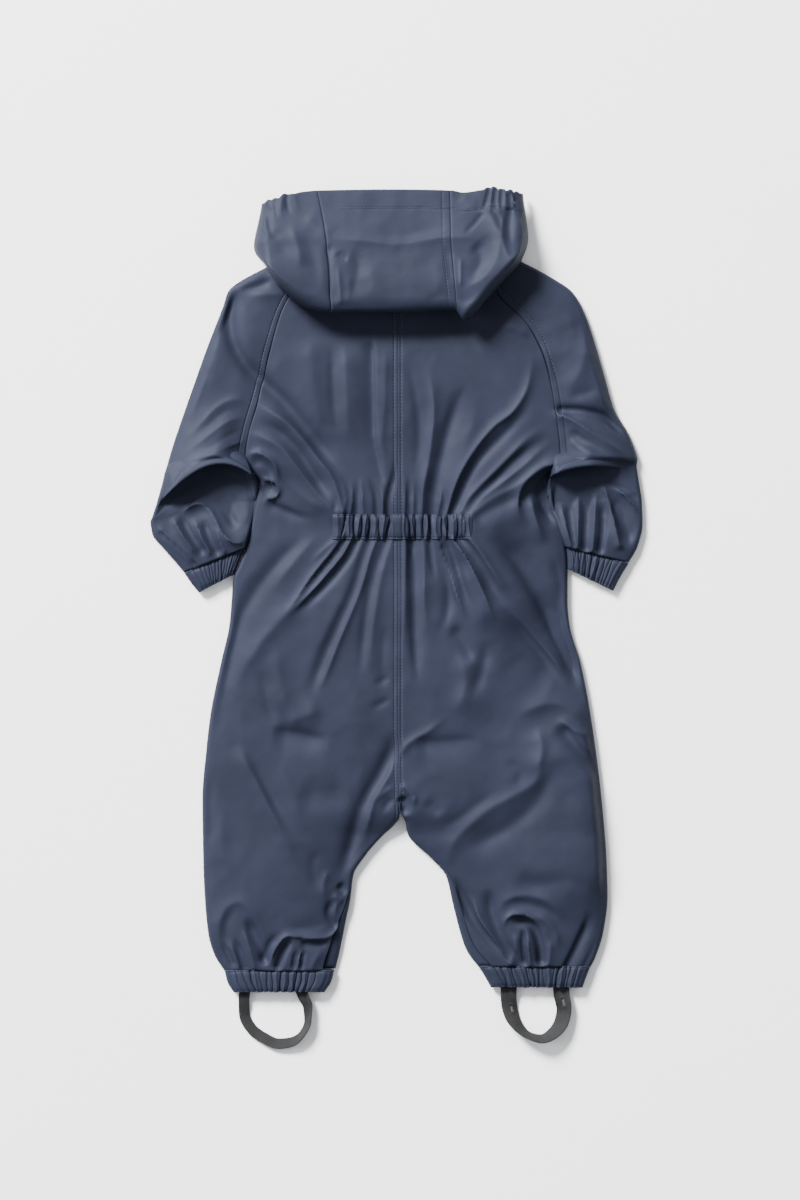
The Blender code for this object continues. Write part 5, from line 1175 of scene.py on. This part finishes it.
def hood_plan(across, down):
    """Points of the hood's upper layer, by share across and share down from the hem."""
    p0, p1, p2 = (np.stack([LINES[line][0](across), LINES[line][1](across)], -1)
                  for line in (HOOD_HEM, HOOD_RIDGE, HOOD_FOLD))
    a, b = HOOD_RIDGE_AT, 1 - HOOD_RIDGE_AT
    s1, s2 = (p1 - p0) / a, (p2 - p1) / b
    same_way = s1 * s2 > 0
    m1 = np.where(same_way, 2 * s1 * s2 / np.where(same_way, s1 + s2, 1), 0)
    down = down[..., None]
    return np.where(down <= a, hermite(down / a, a, p0, p1, s1, m1),
                    hermite((down - a) / b, b, p1, p2, m1, s2))


def hood_surface(across, down):
    """The upper layer's middle surface, with its creases, on a grid of shares."""
    plan = hood_plan(across, down)
    hem_line, fold_line = hood_plan(across, 0 * down), hood_plan(across, 0 * down + 1)
    left, right = hood_plan(0 * across, down), hood_plan(0 * across + 1, down)
    side = np.minimum(np.linalg.norm(plan - left, axis=-1), np.linalg.norm(right - plan, axis=-1))
    below = np.linalg.norm(plan - fold_line, axis=-1)
    low = blend(HOOD_HEM_SIDE_HEIGHT, through(HOOD_UNDERCUT)(across), smooth(down, *UNDERCUT_GROWS))
    rounding = np.ones_like(down)
    for distance in (side, below):
        rounding = rounding * np.sqrt(1 - (1 - np.clip(distance / HOOD_EDGE_ROUND, 0, 1)) ** 2)
    hem = np.linalg.norm(plan - hem_line, axis=-1)
    for board_x, half, rise in HOOD_SCALLOPS:
        bump = np.exp(-(np.abs(plan[..., 0] - BOARD[0] - board_x) / half) ** SCALLOP_SQUARE)
        plan[..., 1] += rise * bump * np.exp(-(hem / SCALLOP_REACH) ** 2)
    lift, pull = relief(plan[..., 0], plan[..., 1], HOOD)
    near = smooth(np.minimum(side, below), *HOOD_EDGE_FADE)
    high = through(HOOD_PROFILE)(down) + lift * near
    plan = plan + pull * near[..., None] * HOOD_PULL
    z = blend(low, np.maximum(high, low), rounding)
    hem = np.linalg.norm(plan - hem_line, axis=-1)
    z = z + groove(hem, HOOD_STITCH) * smooth(across, *HOOD_STITCH_STARTS)
    return np.concatenate([plan, z[..., None]], axis=-1)


def hood_downs():
    """Shares down the hood, closer together towards its lower fold."""
    lower = 0.9 + 0.1 * np.sin(np.linspace(0, math.pi / 2, 12))
    return np.concatenate([np.linspace(0, 0.9, 74), lower[1:]])


def make_hood():
    """The hood's three panels, each turned under at its hem and at its lower fold."""
    made = {}
    for name, first, last in HOOD_PANELS:
        count = int(HOOD_STRIPS * (last - first)) + 1
        across, down = np.meshgrid(np.linspace(first, last, count), hood_downs())
        grid = hood_surface(across, down)
        hem_under, fold_under = [], []
        for turn in np.linspace(0, math.pi, 6)[1:]:
            row = grid[0].copy()
            row[:, 1] += HEM_ROUND * math.sin(turn)
            row[:, 2] -= HEM_ROUND * (1 - math.cos(turn))
            hem_under.append(row)
        for inset in HEM_TUCK:
            row = hem_under[4].copy()
            row[:, 1] -= inset
            row[:, 2] += HEM_TUCK_SLOPE * inset
            hem_under.append(row)
        inward = unit(grid[-14, :, :2] - grid[-1, :, :2])
        for turn in np.radians(FOLD_TURNS):
            row = grid[-1].copy()
            row[:, :2] += inward * FOLD_ROUND * (1 - math.cos(turn))
            row[:, 2] -= FOLD_ROUND * math.sin(turn) * smooth(row[:, 2], *FOLD_CLEAR)
            fold_under.append(row)
        grid = np.concatenate([np.array(hem_under)[::-1], grid, np.array(fold_under)])
        from_first = np.linalg.norm(grid - grid[:, :1], axis=-1)
        from_last = np.linalg.norm(grid - grid[:, -1:], axis=-1)
        if first > 0:
            grid[..., 2] += groove(from_first, 0) * SEAM_DENT
        if last < 1:
            grid[..., 2] += groove(from_last, 0) * SEAM_DENT
        if name == "hood_centre":
            grid[..., 2] += groove(from_last, TOPSTITCH) * TOPSTITCH_DENT
        made[name] = (grid, turned_up(normals_of(grid), 40, count // 2))
        wall(name, *made[name])
    return made


INSIDE_ACROSS, INSIDE_DOWN = 0.06, 0.07     # shares that the inner layers stop short of the edges
INSIDE_WIDE, INSIDE_LONG = 260, 120         # the hood's rough size, to round them off
INSIDE_FLOOR, INSIDE_CLEAR = 13.6, 5.5      # their underside, and how far below the outer layer
INSIDE_ROUND, INSIDE_LEAST = 9, 2.0         # how far in the edges round off, least thickness
INSIDE_EDGE, INSIDE_BELLY = 0.45, 0.2       # shares of it: kept at the edge, rounded off below
NECK_REACH = (380, 390)                     # y over which the neck's part goes down to the floor
NECK_MIDDLE, NECK_HALF = -6, (-116, -106)   # and x: its middle, and minus its half width, out to in


def make_hood_inside():
    """The hood's hidden layers, one rounded solid over the shoulders and down to the neck."""
    across, down = np.meshgrid(np.linspace(INSIDE_ACROSS, 1 - INSIDE_ACROSS, 90),
                               np.linspace(INSIDE_DOWN, 1 - INSIDE_DOWN, 50))
    top = hood_surface(across, down)
    edge = np.minimum((np.minimum(across, 1 - across) - INSIDE_ACROSS) * INSIDE_WIDE,
                      (np.minimum(down, 1 - down) - INSIDE_DOWN) * INSIDE_LONG)
    round_off = np.sqrt(1 - (1 - np.clip(edge / INSIDE_ROUND, 0, 1)) ** 2)
    height = np.maximum(top[..., 2] - INSIDE_CLEAR - INSIDE_FLOOR, INSIDE_LEAST)
    top[..., 2] = INSIDE_FLOOR + height * blend(INSIDE_EDGE, 1, round_off)
    bottom = top.copy()
    neck = smooth(top[..., 1], *NECK_REACH) * smooth(-np.abs(top[..., 0] - NECK_MIDDLE), *NECK_HALF)
    bottom[..., 2] = blend(INSIDE_FLOOR + height * INSIDE_BELLY * (1 - round_off), LOW, neck)
    closed_block("hood_inside", top, bottom, "cloth")


# ================================================================ foot straps
# Columns: x, y, width, tilt in degrees.
STRAPS = {
    "strap_left": (
        (-150.5, -364, 11, 0), (-152.5, -378, 11, 0), (-152, -394, 11, 4), (-145, -408, 11, 8),
        (-133, -417, 11, 12), (-118, -423.2, 11, 20), (-104, -421, 11, 34), (-94, -413, 11, 56),
        (-88.5, -400, 11, 52), (-88.5, -386, 11, 30), (-94, -374, 11, 8), (-97, -364, 11, 0),
    ),
    "strap_right": (
        (112, -360, 16, 0), (112, -378, 16, 4), (115, -394, 16, 24), (122, -406, 16, 50),
        (133, -415, 16, 66), (145, -418, 16, 60), (157, -412, 16, 44), (165, -401, 16, 28),
        (167.5, -388, 16, 22), (165, -374, 16, 6), (164, -360, 16, 0),
    ),
}
STRAP_THICK = 1.4
STRAP_REST = 3.4               # it comes up by this where it is sewn in
STRAP_LIES = (12, 34)          # and goes down to the floor over this distance from its ends
STRAP_STEPS, STRAP_LANES, STRAP_SMOOTHING = 170, 29, 12
RIM_AT, RIM_REACH = 1.35, 0.3  # a buttonhole's rim, in shares of the hole's half size
STRAP_RIBS, RIB_HEIGHT = 9, 0.12
STRAP_EDGE, HOLE_RIM = -0.35, 0.35     # the edges thin out, a buttonhole's rim stands up
# Buttonholes: share along the strap, place across in mm, half length and half width in mm.
BUTTONHOLES = {"strap_left": (), "strap_right": ((0.20, -1.5, 3.4, 1.5), (0.85, 0.5, 3.6, 1.7))}


def make_strap(name):
    """A flat ribbed elastic swept along its route, with buttonholes worked through it."""
    table = np.array(STRAPS[name], float)
    length = run_along(table[:, :2])
    at = np.linspace(0, length[-1], STRAP_STEPS)
    x, y, width, tilt = (through(list(zip(length, column)))(at) for column in table.T)
    for _ in range(STRAP_SMOOTHING):
        x[1:-1] = (x[:-2] + 2 * x[1:-1] + x[2:]) / 4
        y[1:-1] = (y[:-2] + 2 * y[1:-1] + y[2:]) / 4
    tilt = np.radians(tilt)
    tangent = unit(np.stack([np.gradient(x), np.gradient(y), 0 * x], axis=-1))
    up = np.array([0, 0, 1.0])
    side = np.cross(tangent, up) * np.cos(tilt)[:, None] + up * np.sin(tilt)[:, None]
    rest = STRAP_REST * (1 - smooth(np.minimum(at, at[-1] - at), *STRAP_LIES))
    z = width / 2 * np.sin(tilt) + STRAP_THICK / 2 * np.cos(tilt) + rest
    lanes = np.linspace(-0.5, 0.5, STRAP_LANES)
    across = lanes * width[:, None]
    grid = np.stack([x, y, z], axis=-1)[:, None] + side[:, None] * across[..., None]
    normals = np.repeat(np.cross(tangent, side)[:, None], len(lanes), axis=1)

    ribs = RIB_HEIGHT * np.cos(lanes * math.pi * 2 * STRAP_RIBS)
    thick = STRAP_THICK / 2 + ribs + STRAP_EDGE * smooth(np.abs(lanes), 0.44, 0.5) + 0 * across
    hole = np.zeros(across.shape, bool)
    for place, lane, half_long, half_wide in BUTTONHOLES[name]:
        along = at[:, None] - place * at[-1]
        size = np.maximum(np.abs(along) / half_long, np.abs(across - lane) / half_wide)
        hole |= size < 1
        thick += HOLE_RIM * np.exp(-((size - RIM_AT) / RIM_REACH) ** 2)
    faces = wall_faces(*across.shape)
    cut = np.concatenate([hole.ravel(), hole.ravel()])[faces].all(axis=1)
    gone = faces[cut & (faces < hole.size).all(axis=1)]
    ends = {(p, q) for a, b, c, d in gone for p, q in ((a, b), (b, c), (c, d), (d, a))}
    faces = faces[~cut].tolist()
    faces += [(p, q, q + hole.size, p + hole.size) for p, q in sorted(ends) if (q, p) not in ends]
    if np.sum(normals_of(grid) * normals) < 0:
        faces = [face[::-1] for face in faces]
    thick = thick[..., None]
    add_mesh(name, both_sides(grid + normals * thick, grid - normals * thick), faces, "elastic")


# ================================================================ zip
ZIP_HALF_WIDTH, ZIP_TOP, ZIP_BOTTOM = 12.0, 356.0, -36.0
ZIP_ROWS, ZIP_REST = 60, 0.5     # the tapes' underside is this far up
COIL_PITCH, COIL_HALF = 1.4, 2.3
TOOTH_SHARE, TOOTH_SHIFT = 0.36, 0.5     # half a tooth's share of the pitch; to and fro by this
COIL_LAYERS = ((0.05, 0.8), (0.55, 1.0))     # of a tooth: height, share of its size
# Columns: offset from the centre line, height of the tapes.
ZIP_SECTION = ((-ZIP_HALF_WIDTH, 0.9), (-9, 1.1), (-6, 1.1), (-3, 1.1), (-2.5, 1.3), (0, 1.3),
               (2.5, 1.3), (3, 1.1), (6, 1.1), (9, 1.1), (ZIP_HALF_WIDTH, 0.9))
# Columns: way up the slider, share of its width there.
SLIDER_OUTLINE = ((10, 0.6), (8, 0.95), (6, 1), (3.5, 1), (1.2, 0.85), (0, 0.7))
# Columns: offset as a share of its half width, height.
SLIDER_SECTION = ((-1, 2.0), (-0.85, 2.6), (-0.5, 2.9), (0, 3.0), (0.5, 2.9), (0.85, 2.6), (1, 2.0))
SLIDER_HALF_WIDTH, SLIDER_GAP = 4, 0.3


def flat_block(name, xs, ys, heights, bottom_z, finish):
    """A block of this section along ys, flat underneath."""
    top = np.stack(np.broadcast_arrays(xs, ys[:, None], heights), -1).astype(float)
    bottom = top.copy()
    bottom[..., 2] = bottom_z
    closed_block(name, top, bottom, finish)


def make_zip():
    """The hidden front zip: tapes, closed coil and slider."""
    centre = through(INNER[LEFT])
    offsets, heights = np.array(ZIP_SECTION).T
    ys = np.linspace(ZIP_TOP, ZIP_BOTTOM, ZIP_ROWS)
    flat_block("front_zip", centre(ys)[:, None] + offsets, ys, heights, ZIP_REST, "tape")

    points, faces = [], []
    half = COIL_PITCH * TOOTH_SHARE
    for k, y in enumerate(np.arange(ZIP_BOTTOM + 2, ZIP_TOP - 1, COIL_PITCH)):
        middle = float(centre(y)) + (TOOTH_SHIFT if k % 2 else -TOOTH_SHIFT)
        base = len(points)
        for z, narrow in COIL_LAYERS:
            for sx, sy in ((-1, -1), (1, -1), (1, 1), (-1, 1)):
                points.append((middle + sx * COIL_HALF * narrow, y + sy * half * narrow, z))
        faces += [[base + i for i in face] for face in (
            (3, 2, 1, 0), (4, 5, 6, 7), (0, 1, 5, 4), (1, 2, 6, 5), (2, 3, 7, 6), (3, 0, 4, 7))]
    add_mesh("zip_coil", points, faces, "tape", replaces=False)

    up, shares = np.array(SLIDER_OUTLINE).T
    offsets, heights = np.array(SLIDER_SECTION).T
    xs = float(centre(ZIP_TOP)) + shares[:, None] * (offsets * SLIDER_HALF_WIDTH)
    flat_block("zip_slider", xs, ZIP_TOP + SLIDER_GAP + up, heights, 0.0, "enamel")


# ================================================================ stitches
# Along one stitch. Columns: share of its length, share of the thread's radius, height.
THREAD_SECTIONS = ((0, 0.35, -0.30), (0.12, 0.9, 0.05), (0.5, 1, 0.22), (0.88, 0.9, 0.05),
                   (1, 0.35, -0.30))
THREAD_SIDES = 6
FIRST_STITCH = 1.0              # from the end of a row
BACK_FROM, SLEEVE_FROM = 24, 10     # the seams' first rows of points that show under the hood
UNDERARM = 160                  # y where the raglan seam ends
HOOD_ROWS = slice(8, 84)        # of a hood panel, between its turned edges
HEM_STITCH_FROM, HEM_STITCH_TO = 12, -4


def resample(path, start):
    length = run_along(path)
    at = np.arange(start, length[-1], STITCH + STITCH_GAP)
    return np.stack([np.interp(at, length, path[:, k]) for k in range(3)], -1)


def stitch_row(name, *paths):
    """Rows of short threads that dip into the cloth at both ends, as one mesh."""
    points, faces = [], []
    ring = np.arange(THREAD_SIDES) * 2 * math.pi / THREAD_SIDES
    ring = np.stack([np.cos(ring), np.sin(ring)], -1) * THREAD
    last = THREAD_SIDES * (len(THREAD_SECTIONS) - 1)
    for path in paths:
        for a, b in zip(resample(path, FIRST_STITCH), resample(path, FIRST_STITCH + STITCH)):
            way = unit(b - a)
            side = unit(np.cross(way, (0, 0, 1.0)))
            up = np.cross(side, way)
            base = len(points)
            for share, fat, high in THREAD_SECTIONS:
                middle = blend(a, b, share) + up * high
                points += [middle + (side * c + up * d) * fat for c, d in ring]
            for k in range(base, base + last, THREAD_SIDES):
                for n in range(THREAD_SIDES):
                    p, q = k + n, k + (n + 1) % THREAD_SIDES
                    faces.append((p, p + THREAD_SIDES, q + THREAD_SIDES, q))
            faces.append(tuple(base + n for n in range(THREAD_SIDES)))
            faces.append(tuple(base + last + n for n in reversed(range(THREAD_SIDES))))
    add_mesh(name, points, faces, "thread", replaces=False)


def inset_path(grid, normals, distance):
    """The line on a wall's outer face that runs this far in from its first column."""
    path = []
    for row in grid + normals * CLOTH / 2:
        length = run_along(row)
        path.append([np.interp(distance, length, row[:, k]) for k in range(3)])
    return np.array(path)


def make_stitches(backs, sleeves, hood, waist, rings):
    crotch = int(np.argmin(np.abs(body_rows(LEFT) - CROTCH_CLOSES[0])))
    for side, word in WORD.items():
        grid, normals = (part[BACK_FROM:crotch] for part in backs[side])
        stitch_row(f"stitches_centre_{word}", inset_path(grid, normals, CENTRE_GROOVE))
        underarm = int(np.argmin(np.abs(sleeves[side][0][:90, 0, 1] - UNDERARM)))
        grid, normals = (part[SLEEVE_FROM:underarm] for part in sleeves[side])
        stitch_row(f"stitches_raglan_{word}", inset_path(grid, normals, RAGLAN_GROOVE))
    stitch_row("stitches_waist", *(waist[k] + (0, 0, CLOTH / 2) for k in (2, -3)))
    for name, grid in rings.items():
        stitch_row(f"stitches_{name}", grid[2, 8:RING_COLUMNS - 8] + (0, 0, CASING / 2))
    centre = [part[HOOD_ROWS] for part in hood["hood_centre"]]
    stitch_row("stitches_hood_seam", inset_path(*(part[:, ::-1] for part in centre), TOPSTITCH))
    right = [part[HOOD_ROWS] for part in hood["hood_right"]]
    hem, hem_right = (inset_path(*(part.swapaxes(0, 1) for part in panel), HOOD_STITCH)
                      for panel in (centre, right))
    stitch_row("stitches_hood_hem", hem[HEM_STITCH_FROM:], hem_right[:HEM_STITCH_TO])


# ================================================================ floor, lights, camera
FLOOR_HALF, FLOOR_BELOW = 4, 0.0002      # in metres, as the rest of the studio
FLOOR_TONES = ((0.92, 0.922, 0.925, 1), (0.95, 0.95, 0.952, 1))
# Columns: name, place, size, power, colour.
LIGHTS = (
    ("key", (-4.7, 5.8, 5.0), 2.7, 4600, (1.0, 0.985, 0.965)),
    ("side", (-7.0, 0.3, 4.4), 3.0, 280, (0.97, 0.98, 1.0)),
    ("fill", (6.2, 3.2, 5.6), 3.4, 120, (0.97, 0.98, 1.0)),
)
SKY_COLOUR, SKY_STRENGTH = (0.93, 0.96, 1.0, 1), 0.64
VIEW_CENTRE = (3.5, 20.5)      # the middle of the photo's frame, which shows 800 by 1200 mm
VIEW_HEIGHT, CAMERA_HEIGHT, SENSOR = 1.2, 6.0, 36


def add_item(name, data, place):
    item = bpy.data.objects.new(name, data)
    item.location = place
    bpy.context.scene.collection.objects.link(item)
    return item


def make_floor():
    mesh = bpy.data.meshes.new("floor")
    corners = [(FLOOR_HALF * x, FLOOR_HALF * y, 0) for x, y in ((-1, -1), (1, -1), (1, 1), (-1, 1))]
    mesh.from_pydata(corners, [], [(0, 1, 2, 3)])
    made, nodes, links, shader = node_material("pale_floor")
    grain = add_node(nodes, "ShaderNodeTexNoise", Scale=3, Detail=2)
    tones = add_node(nodes, "ShaderNodeValToRGB")
    for stop, tone in zip(tones.color_ramp.elements, FLOOR_TONES):
        stop.color = tone
    links.new(nodes.new("ShaderNodeTexCoord").outputs["Object"], grain.inputs["Vector"])
    links.new(grain.outputs["Fac"], tones.inputs["Fac"])
    links.new(tones.outputs["Color"], shader.inputs["Base Color"])
    shader.inputs["Roughness"].default_value = 0.7
    mesh.materials.append(made)
    add_item("floor", mesh, (0, 0, -FLOOR_BELOW))


def make_studio():
    for name, place, size, power, colour in LIGHTS:
        light = bpy.data.lights.new(name, "AREA")
        light.shape, light.size, light.energy, light.color = "SQUARE", size, power, colour
        item = add_item(name, light, place)
        item.rotation_euler = (-item.location).to_track_quat("-Z", "Y").to_euler()
    world = bpy.data.worlds.new("studio")
    world.use_nodes = True
    background = world.node_tree.nodes["Background"]
    background.inputs["Color"].default_value = SKY_COLOUR
    background.inputs["Strength"].default_value = SKY_STRENGTH
    bpy.context.scene.world = world


def make_camera():
    camera = bpy.data.cameras.new("camera")
    camera.sensor_fit, camera.sensor_height = "VERTICAL", SENSOR
    camera.lens = SENSOR * CAMERA_HEIGHT / VIEW_HEIGHT
    place = (VIEW_CENTRE[0] * MM, VIEW_CENTRE[1] * MM, CAMERA_HEIGHT)
    bpy.context.scene.camera = add_item("camera", camera, place)


def main():
    make_camera()
    make_studio()
    make_floor()
    backs = make_body()
    sleeves = make_sleeves()
    waist = make_waist_casing()
    rings = {name: make_ring(name) for name in CUFFS}
    hood = make_hood()
    make_hood_inside()
    for name in STRAPS:
        make_strap(name)
    make_zip()
    make_stitches(backs, sleeves, hood, waist, rings)


main()
